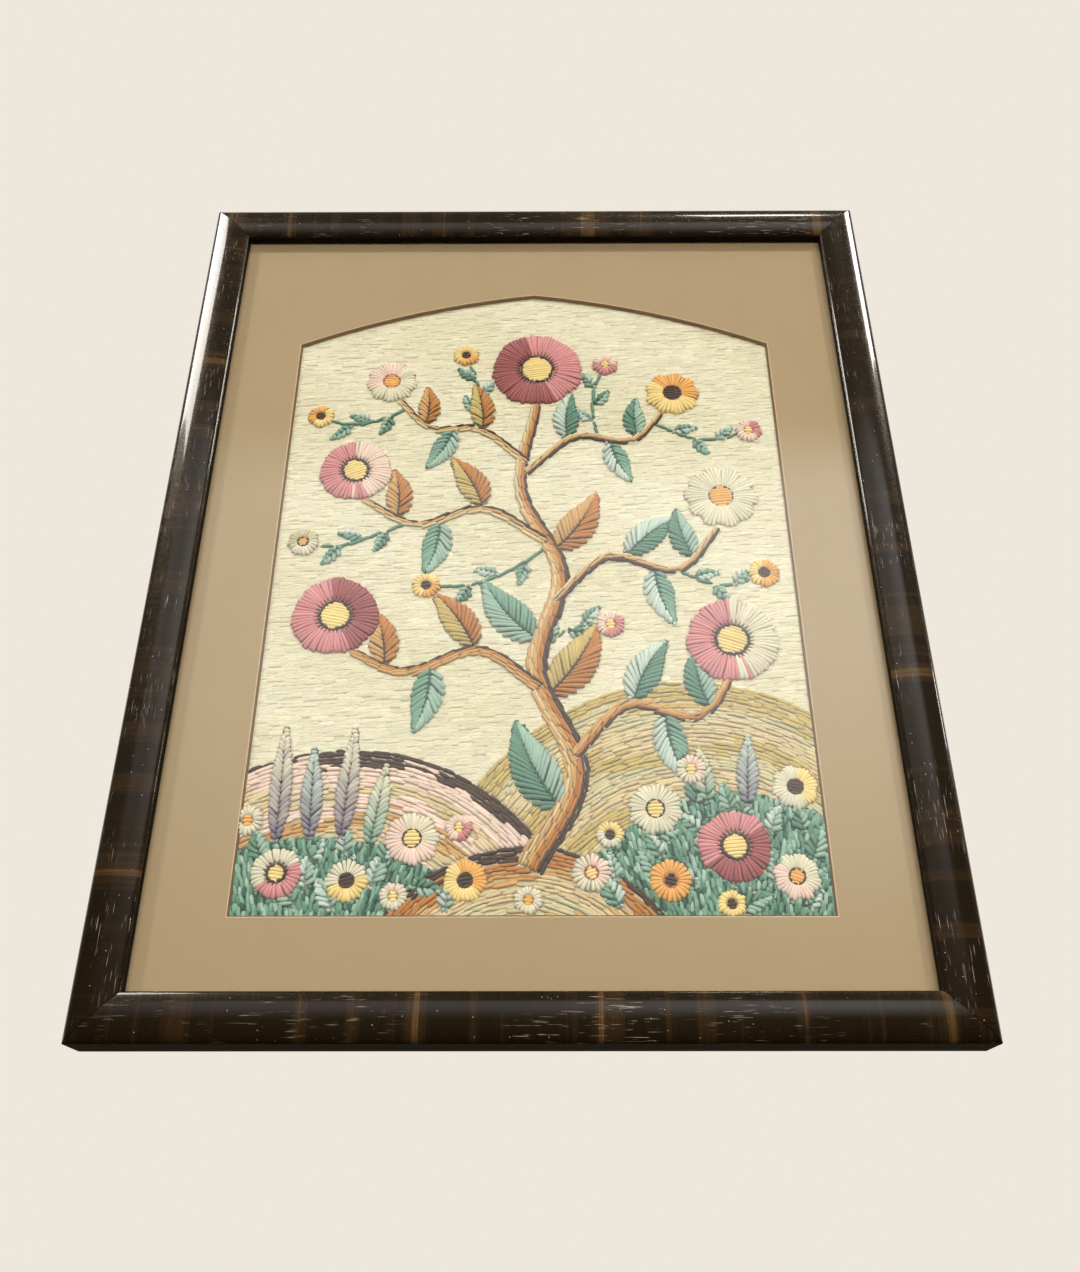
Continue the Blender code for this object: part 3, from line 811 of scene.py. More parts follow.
def strand_mesh(name, rows, material):
    """One mesh of closed strands. Each dives into the cloth at both ends."""
    start, end = rows[:, 0:2], rows[:, 2:4]
    bend, width, ends, rise = rows[:, 4], rows[:, 5], rows[:, 6:8], rows[:, 8]
    pads, dyes, dives, tones = rows[:, 9:12], rows[:, 12:15], rows[:, 15], rows[:, 16]
    run = end - start
    length = np.maximum(np.linalg.norm(run, axis=1), 0.3)
    side = left_of(run / length[:, None])
    dive = np.minimum(LONGEST_DIVE, dives / length)
    none = np.zeros_like(dive)
    share = [none, dive * 0.4, dive, none + 0.5, 1 - dive, 1 - dive * 0.4, none + 1]
    share = np.stack(share, axis=1)
    bowing = 4 * share * (1 - share) * bend[:, None]
    centre = start[:, None] + run[:, None] * share[..., None] + side[:, None] * bowing[..., None]
    lift = (1 - share) * (1 - 2 * share) * pads[:, 0:1]
    lift += 4 * share * (1 - share) * pads[:, 1:2]
    lift += share * (2 * share - 1) * pads[:, 2:3]
    fullness = WIDTH_SHARES * (ends[:, 0:1] * (1 - share) + ends[:, 1:2] * share)
    half_width = width[:, None] * sizes().strand_width / MM / 2 * fullness
    full_rise = rise[:, None] * sizes().strand_rise / MM
    foot = lift + full_rise * FOOT_SHARES
    heights = foot[..., None] + (full_rise * RISE_SHARES)[..., None] * SECTION[:, 1]
    sideways = half_width[..., None] * SECTION[:, 0]
    flat = centre[:, :, None, :] + side[:, None, None, :] * sideways[..., None]
    strands, rings = flat.shape[:2]
    places = np.empty((strands, rings, SECTION_SIDES, 3))
    places[..., 0] = flat[..., 0] * MM
    places[..., 1] = CLOTH_FRONT_Y - heights * MM
    places[..., 2] = flat[..., 1] * MM
    mesh = bpy.data.meshes.new(name)
    mesh.from_pydata(places.reshape(-1, 3), [], strand_faces(strands, rings))
    mesh.shade_smooth()
    # Painted shade: the dye is darkened on the strand's sides and feet and towards its ends, less in
    # pale wool and flat strands.
    paleness = (dyes @ np.array(LUMINANCE))[:, None, None]
    shade = DARK_WOOL_SHADE + (PALE_WOOL_SHADE - DARK_WOOL_SHADE) * np.sqrt(paleness)
    shade = shade * np.minimum(rise, 1.0)[:, None, None] ** 1.5
    light = 1 - (1 - LIGHT_SHARES[:, None] * SECTION[:, 2]) * shade
    dye = np.ones((strands, rings, SECTION_SIDES, 4))
    dye[..., :3] = dyes[:, None, None, :] * light[..., None]
    mesh.color_attributes.new("dye", "FLOAT_COLOR", "POINT").data.foreach_set("color", dye.ravel())
    strand = np.empty((strands, rings, SECTION_SIDES, 3))
    strand[..., 0] = (share * length[:, None] + tones[:, None] * 9.0)[..., None]
    strand[..., 1] = np.arange(SECTION_SIDES) / SECTION_SIDES
    strand[..., 2] = tones[:, None, None]
    mesh.attributes.new("strand", "FLOAT_VECTOR", "POINT").data.foreach_set("vector", strand.ravel())
    mesh.materials.append(material)
    piece = bpy.data.objects.new(name, mesh)
    bpy.context.scene.collection.objects.link(piece)
    return piece


def strand_faces(strands, rings):
    """Quads round every strand and a cap at each end."""
    faces = []
    for ring in range(rings - 1):
        for side in range(SECTION_SIDES):
            after = (side + 1) % SECTION_SIDES
            low, high = ring * SECTION_SIDES, (ring + 1) * SECTION_SIDES
            faces.append((low + side, low + after, high + after, high + side))
    last = (rings - 1) * SECTION_SIDES
    faces.append(tuple(reversed(range(SECTION_SIDES))))
    faces.append(tuple(last + side for side in range(SECTION_SIDES)))
    starts = [strand * rings * SECTION_SIDES for strand in range(strands)]
    return [tuple(start + index for index in face) for start in starts for face in faces]


class Hill:
    """A mound whose stitches follow its crown in bands."""

    def __init__(self, x, foot, half_width, crown, rise, bands=()):
        self.middle = np.array([x, foot])
        self.axes = np.array([half_width, crown])
        self.rise = rise
        self.wools = [name for name, rows in bands for _ in range(rows)]

    def covers(self, points, shrink=0.0):
        reach = (points - self.middle) / (self.axes - shrink)
        return np.hypot(reach[..., 0], reach[..., 1]) < 1.0

    def stitch(self, stitches, plan):
        pitch = sizes().row_pitch / MM
        chance = stitches.chance
        for row in range(int(self.axes[1] / pitch)):
            scale = 1 - (row + 0.5) * pitch / self.axes[1]
            angles = np.linspace(np.pi, 0, 400)
            ring = np.stack([np.cos(angles), np.sin(angles)], axis=1) * self.axes * scale
            places = evenly(self.middle + ring, CELL)
            hits = plan.shows(places, self.number)

            def colour_at(start, _, row=row):
                wander = 1.7 * math.sin(start[0] * 0.07) + 1.4 * math.sin(start[0] * 0.031 + row * 0.2)
                band = 0 if row == 0 else max(0, int(row + wander + chance.uniform(-1.5, 1.5)))
                return wool(self.wools[min(band, len(self.wools) - 1)])

            strand = {"loose": 0.34, "sink": 0.18, "bow": 0.45, "width": 1.08, "overlap": (0.4, 0.9)}
            stitches.lay_along(places, hits, colour_at, lift=self.rise, **strand)


class Turf(Hill):
    """A mound of short upright stitches that fan out from its foot."""

    def stitch(self, stitches, plan):
        chance = stitches.chance
        self.stitch_under_rows(stitches, plan)
        pitch = sizes().row_pitch / MM * 1.04
        levels = np.arange(self.middle[1] + self.axes[1], WINDOW_FOOT - TURF_STITCH, -TURF_ROW)
        for row, z in enumerate(levels):
            begin = self.middle[0] - self.axes[0] + row % 2 * pitch / 2
            for x in np.arange(begin, self.middle[0] + self.axes[0], pitch):
                heading = math.radians(90 - (x - self.middle[0]) * 0.3 + chance.normal(0, 9))
                start = np.array([x, z - TURF_STITCH / 2]) + chance.normal(0, 0.5, 2)
                length = TURF_STITCH * chance.uniform(0.75, 1.15)
                run = np.array([math.cos(heading), math.sin(heading)]) * length
                shown = plan.showing(start, start + run, self.number)
                if shown is not None:
                    tone = TURF_WOOLS[int(chance.integers(len(TURF_WOOLS)))]
                    pad = (self.rise + chance.uniform(-0.2, 0.2),) * 3
                    stitches.lay(*shown, wool(tone), width=1.16, rise=1.15, pad=pad, dive=1.7, bow=0.3)

    def stitch_under_rows(self, stitches, plan):
        """Flat level rows of pine wool, darkened further as painted shade, that close the gaps between
        the upright stitches.
        """
        across = np.arange(self.middle[0] - self.axes[0], self.middle[0] + self.axes[0], CELL)
        for z in np.arange(WINDOW_FOOT - 1.0, self.middle[1] + self.axes[1], 3.4):
            places = np.stack([across, np.full(len(across), z)], axis=1)
            hits = plan.shows(places, self.number)
            strand = {"width": 1.75, "rise": 0.42, "loose": 0.1, "dive": 1.0}
            # Painted shade: the pine wool is darkened so that the gaps between the upright stitches
            # show as shade.
            stitches.lay_along(places, hits, lambda *_: wool("pine") * 0.8, usual=24.0, **strand)


class Stem:
    """A rounded, tapering stem in rows of slanting stem stitch, dark on one side."""

    def __init__(self, points, root_width, tip_width, wools=STEM_WOOLS, pad=STEM_PAD):
        self.places, _ = curve_through(points, STEM_STATION)
        self.fine, _ = curve_through(points, CELL)
        self.widths = (root_width, tip_width)
        self.wools, self.pad = wools, pad

    def half_width(self, share):
        return (self.widths[0] + (self.widths[1] - self.widths[0]) * share) / 2

    def covers(self, points, shrink=0.0):
        share, offset = off_line(points, self.places)
        beside = (share > 0) & (share < 1)
        return beside & (np.abs(offset) < self.half_width(share) - shrink)

    def stitch(self, stitches, plan):
        pitch = sizes().row_pitch / MM * 0.92
        half = self.half_width(np.linspace(0, 1, len(self.fine)))
        rows = max(1, round(2 * half[0] / pitch))
        for row in range(rows):
            across = (row + 0.5) / rows * 2 - 1
            places = self.fine + left_of(along(self.fine)) * (half * across)[:, None]
            if row % 2 and half[-1] < half[0] * 0.5:
                places = places[: int(len(places) * 0.75)]
            hits = plan.shows(places, self.number)
            name = self.wools[int((across * 0.5 + 0.5) * (len(self.wools) - 1))]
            lift = self.pad * math.sqrt(max(0.0, 1 - across**2))
            strand = {"width": 0.95, "loose": 0.1, "slant": 0.5, "lift": lift, "bow": 0.1, "dive": 1.8}
            stitches.lay_along(places, hits, lambda *_: wool(name), **strand)


class Leaf:
    """A leaf in slanted satin stitches from its midrib, each side in its own wool."""

    def __init__(self, base, heading, length, width, turn, wools, pad=LEAF_PAD, blend=False):
        self.length, self.width, self.wools, self.pad, self.blend = length, width, wools, pad, blend
        steps = max(6, int(length / 2))
        angles = heading + turn * (np.arange(steps) + 0.5) / steps
        run = np.stack([np.cos(angles), np.sin(angles)], axis=1) * length / steps
        self.places = np.vstack([[base], base + np.cumsum(run, axis=0)])

    def half_width(self, share):
        clipped = np.clip(share, 0.0, 1.0)
        return self.width / 2 * np.sin(np.pi * clipped**LEAF_FULL_NEAR_BASE)

    def covers(self, points, shrink=0.0):
        reach = self.length * 0.75
        near = np.linalg.norm(points - self.places[len(self.places) // 2], axis=-1) < reach
        covered = np.zeros(near.shape, bool)
        share, offset = off_line(points[near], self.places)
        covered[near] = np.abs(offset) < self.half_width(share) - shrink
        return covered

    def at(self, share, across):
        """The place at a share of the length and a share of the half width to the left."""
        share = min(1.0, max(0.0, share))
        spot = share * (len(self.places) - 1)
        index = min(int(spot), len(self.places) - 2)
        run = self.places[index + 1] - self.places[index]
        place = self.places[index] + run * (spot - index)
        return place + left_of(run / np.linalg.norm(run)) * across * self.half_width(share)

    def stitch(self, stitches, plan):
        chance = stitches.chance
        self.stitch_padding(stitches, plan)
        step = sizes().satin_pitch / MM * 1.34 / self.length
        for share in np.arange(0.02, 0.96, step):
            for side in (1, -1):
                lean = 0.95 * self.half_width(share) / self.length
                begin = share + chance.normal(0, 0.12) * step
                start = self.at(begin, side * 0.04)
                end = self.at(begin + lean + 0.02, side * chance.uniform(0.96, 1.04))
                shown = plan.showing(start, end, self.number)
                if shown is None:
                    continue
                pads = (self.pad * 0.5, self.pad * 1.2, self.pad * 0.25)
                colour = self.colour(share, side, chance)
                stitches.lay(*shown, colour, width=1.3, ends=(0.8, 1.1), rise=1.25, pad=pads, bow=0.2)
        if len(self.wools) > 2:
            self.stitch_midrib(stitches, plan)

    def stitch_padding(self, stitches, plan):
        """Long flat stitches down the leaf that pad it and close the gaps in its satin stitches, in its
        first wool darkened as painted shade.
        """
        for across in (-0.5, 0.0, 0.5):
            for first, last in ((0.06, 0.55), (0.45, 0.94)):
                start, end = self.at(first, across), self.at(last, across)
                shown = plan.showing(start, end, self.number)
                if shown is not None:
                    # Painted shade: the padding wool is darkened so that the gaps between the satin
                    # stitches show as shade.
                    tone = wool(self.wools[0]) * 0.45
                    stitches.lay(*shown, tone, width=self.width * 0.12, rise=0.4, bow=0.0)

    def colour(self, share, side, chance):
        if self.blend:
            part = np.clip(share * 1.2 + chance.normal(0, 0.1), 0, 1)
            return wool(self.wools[0]) * (1 - part) + wool(self.wools[1]) * part
        return wool(self.wools[0 if side > 0 else 1]) * (0.92 + 0.16 * share)

    def stitch_midrib(self, stitches, plan):
        count = max(3, round(self.length / 6))
        for index in range(count):
            start, end = self.at(index / count, -0.03), self.at((index + 1.2) / count, 0.03)
            shown = plan.showing(start, end, self.number)
            if shown is not None:
                lift = self.pad * 0.9
                stitches.lay(*shown, wool(self.wools[2]), width=0.66, rise=0.85, pad=(lift,) * 3)


def padded(*shares):
    """What lifts a flower's stitch at its start, middle and end, from shares of the usual padding."""
    return tuple(FLOWER_PAD * share for share in shares)


class Flower:
    """A flower in radial satin stitch, round or in petals, with a dark ring and a filled centre."""

    def __init__(self, x, z, radius, petals, first, second, ring, centre):
        self.middle = np.array([x, z])
        self.radius, self.petals = radius, petals
        self.first, self.second, self.ring, self.centre = first, second, ring, centre
        self.phase = (x * 0.37 + z * 0.11) % math.tau

    def edge(self, angle):
        """Reach of the flower at an angle."""
        if self.petals == 0:
            wobble = np.sin(angle * 3 + self.phase) * 0.02 + np.sin(angle * 7 - self.phase) * 0.015
            return self.radius * (0.98 + wobble)
        notch = np.abs(np.cos((angle - self.phase) * self.petals / 2))
        return self.radius * (0.82 + 0.18 * np.sqrt(notch))

    def covers(self, points, shrink=0.0):
        reach = points - self.middle
        angle = np.arctan2(reach[..., 1], reach[..., 0])
        return np.hypot(reach[..., 0], reach[..., 1]) < self.edge(angle) - shrink

    def spoke(self, angle, reach):
        return self.middle + np.array([math.cos(angle), math.sin(angle)]) * reach

    def shade(self, angle, chance):
        """The first wool on one side of the flower and the second on the other."""
        turned = math.sin(angle + self.phase * 0.5) + chance.normal(0, 0.12)
        return wool(self.first if turned > 0.1 else self.second)

    def stitch(self, stitches, plan):
        if self.petals:
            self.stitch_petals(stitches, plan)
        else:
            self.stitch_round(stitches, plan)
        self.stitch_centre(stitches)
        self.stitch_ring(stitches)

    def stitch_round(self, stitches, plan):
        """Stitches from the ring to the edge, every other one a little shorter at the ring."""
        chance = stitches.chance
        inner = self.radius * FLOWER_CENTRE
        count = 2 * round(math.tau * self.radius / (sizes().satin_pitch / MM * 1.3) / 2)
        for index in range(count):
            angle = (index + chance.uniform(-0.14, 0.14)) * math.tau / count
            short = index % 2
            reach = self.edge(angle) * chance.uniform(0.94, 1.04)
            start = self.spoke(angle, inner + (self.radius - inner) * 0.12 * short)
            shown = plan.showing(start, self.spoke(angle, reach), self.number)
            if shown is None:
                continue
            pads = padded(0.7 if short else 0.5, 1.05, 0.4)
            strand = {"ends": (0.78, 1.38), "rise": 1.4, "bow": 0.2, "dive": 1.2}
            stitches.lay(*shown, self.shade(angle, chance), pad=pads, **strand)

    def stitch_petals(self, stitches, plan):
        """Petals of a few fat stitches that meet at the centre."""
        chance = stitches.chance
        inner = self.radius * FLOWER_CENTRE * 0.8
        arc = math.tau / self.petals
        strands = max(2, round(arc * self.radius * 0.95 / (sizes().satin_pitch / MM * 1.3)))
        for petal in range(self.petals):
            shade = self.shade(self.phase + petal * arc, chance)
            for place in range(strands):
                off = (place + 0.5) / strands * 2 - 1
                angle = self.phase + petal * arc + off * arc * 0.48
                reach = self.radius * (1.0 - 0.15 * off * off) * chance.uniform(0.95, 1.03)
                shown = plan.showing(self.spoke(angle, inner), self.spoke(angle, reach), self.number)
                if shown is not None:
                    lifts = (0.4, 1.0 - 0.2 * abs(off), 0.3)
                    strand = {"ends": (0.7, 1.34), "rise": 1.35, "bow": 0.15, "dive": 1.3}
                    stitches.lay(*shown, shade, pad=padded(*lifts), **strand)

    def stitch_ring(self, stitches):
        reach = self.radius * FLOWER_CENTRE * 0.96
        if self.radius < 10:
            return
        count = max(6, round(math.tau * reach / 3.6))
        chance = stitches.chance
        for index in range(count):
            start = self.spoke(index * math.tau / count, reach * chance.uniform(0.92, 1.1))
            end = self.spoke((index + 1.15) * math.tau / count, reach * chance.uniform(0.92, 1.1))
            strand = {"width": chance.uniform(0.7, 1.15), "rise": 0.9, "bow": 0.2}
            stitches.lay(start, end, wool(self.ring), pad=padded(0.8, 0.8, 0.8), **strand)

    def stitch_centre(self, stitches):
        reach = self.radius * FLOWER_CENTRE * 0.92
        pitch = sizes().satin_pitch / MM * 0.9
        lean = stitches.chance.uniform(-0.4, 0.4)
        run = np.array([math.cos(lean), math.sin(lean)])
        rows = max(2, round(2 * reach / pitch))
        for row in range(rows):
            across = ((row + 0.5) / rows * 2 - 1) * reach
            half = math.sqrt(max(0.8, reach**2 - across**2))
            middle = self.middle + left_of(run) * across
            lift = FLOWER_PAD * (0.4 + 0.35 * half / reach)
            pads = (lift * 0.7, lift, lift * 0.7)
            stitches.lay(middle - run * half, middle + run * half, wool(self.centre), pad=pads, bow=0.1)


class Ground:
    """The pale ground, in level rows of long and short stitches."""

    number = 0

    def stitch(self, stitches, plan):
        pitch = sizes().row_pitch / MM * 0.88
        chance = stitches.chance
        across = np.arange(-WINDOW_HALF - UNDER_MAT, WINDOW_HALF + UNDER_MAT, CELL)
        for height in np.arange(WINDOW_FOOT, WINDOW_APEX + UNDER_MAT, pitch):
            wave = 0.5 * np.sin(across * 0.045 + height * 0.13) + 0.35 * np.sin(across * 0.15 + height)
            places = np.stack([across, height + wave], axis=1)
            hits = plan.shows(places, self.number)

            def colour_at(start, _):
                warm = 0.5 + 0.3 * math.sin(start[0] * 0.03 + start[1] * 0.05)
                share = min(1.0, max(0.0, warm + chance.normal(0, 0.25))) * 0.5
                return wool("cream") * (1 - share) + wool("straw") * share

            strand = {"width": 1.24, "rise": 0.28, "bow": 0.4, "dive": 2.4}
            row = {"usual": 8.0, "loose": 0.3, "slant": 0.3, "sink": 0.05, "overlap": (0.8, 1.15)}
            stitches.lay_along(places, hits, colour_at, **row, **strand)


def stem_leaves():
    """Leaves on alternate sides of each stem, splayed from it and curling back to its heading."""
    leaves = []
    for points, _, _, leaf_length, shares, side in STEMS:
        places, directions = curve_through(points, STEM_STATION)
        for count, share in enumerate(shares):
            index = round(share * (len(places) - 1))
            heading = math.atan2(directions[index][1], directions[index][0])
            heading += side * math.radians(LEAF_SPLAY)
            length = leaf_length * (1.0 - LEAF_TAPER * count / len(shares))
            turn = -side * math.radians(LEAF_TURN)
            wools = LEAF_WOOLS[len(leaves) % len(LEAF_WOOLS)]
            leaves.append(Leaf(places[index], heading, length, length * LEAF_SLENDER, turn, wools))
            side = -side
    return leaves


def twig_leaves():
    """Small leaves on alternate sides of each twig."""
    leaves = []
    for points in TWIGS:
        places, directions = curve_through(points, 1.0)
        side = 1
        for share in TWIG_LEAF_PLACES:
            index = int(share * (len(places) - 1))
            heading = math.atan2(directions[index][1], directions[index][0]) + side * math.radians(50)
            wools = SPRIG_WOOLS[len(leaves) % len(SPRIG_WOOLS)]
            width, turn = TWIG_LEAF * 0.5, -side * 0.4
            leaves.append(Leaf(places[index], heading, TWIG_LEAF, width, turn, wools, pad=0.5))
            side = -side
    return leaves


def sprig_leaves(seed):
    """Small leaves scattered over the green mounds, fanning out from the foot of each mound."""
    chance = np.random.default_rng(seed)
    leaves = []
    for mound in TURF:
        hill = Turf(*mound)
        low, high = hill.middle - hill.axes, hill.middle + hill.axes
        for z in np.arange(WINDOW_FOOT + 2.0, high[1], SPRIG_SPACING * 0.72):
            for x in np.arange(low[0], high[0], SPRIG_SPACING):
                base = np.array([x, z]) + chance.uniform(-3.5, 3.5, 2)
                if not (hill.covers(base, 6.0) and inside_window(base, -2.0)):
                    continue
                heading = math.radians(90 - (x - hill.middle[0]) * 0.5 + chance.normal(0, 34))
                length = SPRIG_LENGTH * chance.uniform(0.7, 1.15)
                wools = SPRIG_WOOLS[int(chance.integers(len(SPRIG_WOOLS)))]
                width = SPRIG_WIDTH * length / SPRIG_LENGTH
                leaves.append(Leaf(base, heading, length, width, chance.normal(0, 0.4), wools, pad=0.6))
    return leaves


def motif_groups():
    """Every motif in the order in which it covers those before, in named groups."""
    spikes = []
    for x, foot, height, lean, low, high in SPIKES:
        base, heading, wools = np.array([x, foot]), math.radians(90.0 + lean), (low, high)
        spikes.append(Leaf(base, heading, height, SPIKE_WIDTH, 0.0, wools, blend=True))
    return {
        "hill_wool": [Hill(*hill) for hill in HILLS[:FRONT_HILL]],
        "turf_wool": [Turf(*mound) for mound in TURF],
        "front_hill_wool": [Hill(*hill) for hill in HILLS[FRONT_HILL:]],
        "sprig_wool": sprig_leaves(sizes().seed),
        "spike_wool": spikes,
        "twig_wool": [Stem(points, TWIG_WIDTH, TWIG_WIDTH, ("teal",), 0.4) for points in TWIGS],
        "twig_leaf_wool": twig_leaves(),
        "leaf_wool": stem_leaves(),
        "stem_wool": [Stem(*stem[:3]) for stem in STEMS],
        "flower_wool": [Flower(*flower) for flower in FLOWERS],
    }


class CREWEL_OT_cloth(bpy.types.Operator):
    """Stretch the linen ground flat behind the mat"""

    bl_idname = "crewel.cloth"
    bl_label = "Linen ground"

    def execute(self, context):
        low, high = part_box("embroidery")
        middle = [(low[axis] + high[axis]) / 2 for axis in range(3)]
        deselect_all()
        place = (middle[0], CLOTH_BACK_Y, middle[2])
        bpy.ops.mesh.primitive_plane_add(size=1.0, location=place, rotation=(math.pi / 2, 0, 0))
        cloth = context.active_object
        cloth.name = "linen_ground"
        cloth.scale = (high[0] - low[0], high[2] - low[2], 1.0)
        bpy.ops.object.transform_apply(location=True, rotation=True, scale=True)
        bpy.ops.object.mode_set(mode="EDIT")
        bpy.ops.mesh.select_all(action="SELECT")
        bpy.ops.mesh.subdivide(number_cuts=24)
        bpy.ops.object.mode_set(mode="OBJECT")
        thicken = cloth.modifiers.new("thickness", "SOLIDIFY")
        thicken.thickness = CLOTH_THICK
        thicken.offset = 1.0
        bpy.ops.object.modifier_apply(modifier=thicken.name)
        cloth.data.materials.append(linen_finish())
        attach(cloth, "root")
        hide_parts("embroidery")
        return {"FINISHED"}


class CREWEL_OT_stitches(bpy.types.Operator):
    """Lay every strand of the motif and of the ground round it"""

    bl_idname = "crewel.stitches"
    bl_label = "Wool stitches"

    def execute(self, context):
        plan = Plan()
        groups = motif_groups()
        for motifs in groups.values():
            for motif in motifs:
                plan.add(motif)
        groups["sky_wool"] = [Ground()]
        material = wool_finish()
        made = []
        for number, (name, motifs) in enumerate(groups.items()):
            stitches = Stitches(sizes().seed + number)
            for motif in motifs:
                motif.stitch(stitches, plan)
            made += stitches.make(name, material)
        for piece in made:
            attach(piece, "root")
        return {"FINISHED"}


class CREWEL_OT_rails(bpy.types.Operator):
    """Finish the four rails: softened edges, veneer, side strip, black lip and bare back"""

    bl_idname = "crewel.rails"
    bl_label = "Moulding"

    def execute(self, context):
        for side in ("bottom", "top", "left", "right"):
            upright = side in ("left", "right")
            rail = merged_copy(f"rail_{side}", f"moulding_{side}")
            self.soften_sight_edge(rail, upright)
            self.dress(rail, upright)
            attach(rail, "root")
            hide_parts(f"rail_{side}")
        return {"FINISHED"}

    def soften_sight_edge(self, rail, upright):
        """Round the edge where the front turns in towards the glass."""
        along, across = (2, 0) if upright else (0, 2)
        points = [vertex.co for vertex in rail.data.vertices]
        inner = min(self.away(point, across) for point in points)
        front = min(p.y for p in points if abs(self.away(p, across) - inner) < SAME)

        def on_sight_edge(first, second):
            for point in (first, second):
                if abs(self.away(point, across) - inner) > SAME or abs(point.y - front) > SAME:
                    return False
            return abs(first[along] - second[along]) > 100 * SAME

        select_edges(rail, on_sight_edge)
        bpy.ops.mesh.bevel(offset=SIGHT_EDGE_ROUND, segments=4, profile=0.5)
        bpy.ops.object.mode_set(mode="OBJECT")

    @staticmethod
    def away(point, axis):
        """Distance from the panel's middle along an axis."""
        return abs(point[axis] - (LOW[axis] + HIGH[axis]) / 2)

    def dress(self, rail, upright):
        across = 0 if upright else 2
        grain = (1.0, 1.0, 0.02) if upright else (0.02, 1.0, 1.0)
        name = rail.name
        materials = (
            veneer_finish(f"{name}_veneer", upright),
            painted_finish(f"{name}_side", "side_strip", 0.35, grain),
            painted_finish(f"{name}_lip", "lip", 0.6, grain),
            painted_finish(f"{name}_raw", "raw_wood", 0.7, grain),
        )
        for material in materials:
            rail.data.materials.append(material)
        veneer, strip, lip, raw = range(len(materials))
        side_front = BACK_Y - RAIL_SIDE_DEPTH
        middle = (LOW[across] + HIGH[across]) / 2
        outer = max(self.away(vertex.co, across) for vertex in rail.data.vertices)
        for face in rail.data.polygons:
            normal, place = face.normal, face.center
            outward = normal[across] * (place[across] - middle)
            face.material_index = veneer
            if normal.y > 0.5 or place.y > side_front + 4 * MM and outward < 0:
                face.material_index = raw
            elif outward > 0 and outer - self.away(place, across) < SAME and place.y > side_front:
                face.material_index = strip
            elif outward < 0 and abs(normal[across]) > 0.95 and abs(normal.y) < 0.1:
                face.material_index = lip
        activate(rail)
        bpy.ops.mesh.customdata_custom_splitnormals_clear()
        bpy.ops.object.shade_smooth_by_angle(angle=math.radians(40), keep_sharp_edges=False)


class CREWEL_OT_mat(bpy.types.Operator):
    """Finish the window mat: its face, its cut edge in a brown that is partly painted shade, and the
    pale line where the two meet
    """

    bl_idname = "crewel.mat"
    bl_label = "Window mat"

    def execute(self, context):
        mat = merged_copy("mat", "window_mat")
        middle = (LOW[2] + HIGH[2]) / 2

        def on_window_edge(first, second):
            for point in (first, second):
                if abs(point.y - MAT_FRONT_Y) > SAME / 2:
                    return False
                if abs(point.x) > WITHIN_MAT[0] or abs(point.z - middle) > WITHIN_MAT[1]:
                    return False
            return True

        select_edges(mat, on_window_edge)
        bpy.ops.mesh.bevel(offset=WINDOW_EDGE_EASE, segments=1)
        bpy.ops.object.mode_set(mode="OBJECT")
        for name in ("mat_face", "mat_cut", "mat_edge"):
            mat.data.materials.append(card_finish(name, name))
        for face in mat.data.polygons:
            slope = -face.normal.y
            face.material_index = 2 if 0.8 < slope < 0.95 else 1 if 0.2 < slope <= 0.8 else 0
        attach(mat, "root")
        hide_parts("mat")
        return {"FINISHED"}


class CREWEL_OT_boards(bpy.types.Operator):
    """Give the glass and the backing board their finishes"""

    bl_idname = "crewel.boards"
    bl_label = "Glass and backing board"

    def execute(self, context):
        finishes = {
            "glass": glass_finish(),
            "backing_board": painted_finish("fibreboard", "board", 0.75, (1.0, 1.0, 1.0)),
        }
        for node, material in finishes.items():
            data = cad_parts[node].data
            data.materials.clear()
            data.materials.append(material)
        return {"FINISHED"}


# The camera, fitted to the photograph: place in metres with y before the frame's back, tilt up
# and turn to the left in degrees, and focal length in picture widths
CAMERA_PLACE = (0.0061, -0.5786, -0.0847)
CAMERA_TILT = 28.354
CAMERA_TURN = 0.222
CAMERA_FOCUS = 1139.6 / 1080
FLOOR_HEIGHT = -1.3
# Height of the place that every light faces
PANEL_MIDDLE = 0.28

LIGHTS = (
    # name, place, size, power, whether it only shows in the glass and the lacquer
    ("key_right", (1.96, -2.62, 2.9), (0.4, 0.4), 77.0, False),
    ("key_left", (-2.42, -2.42, 2.7), (0.4, 0.4), 63.0, False),
    ("soft_fill", (0.1, -1.7, 0.0), (1.4, 0.9), 25.0, False),
    ("ceiling_lamp", (0.49, -1.0, 2.25), (0.3, 0.2), 6.0, True),
    ("soft_box_right", (1.3, -0.6, 1.71), (0.6, 0.4), 22.0, True),
    ("soft_box_left", (-1.2, -0.78, 1.62), (1.1, 0.5), 38.0, True),
    ("far_box_right", (2.57, -0.1, 1.18), (0.25, 0.2), 5.0, True),
)


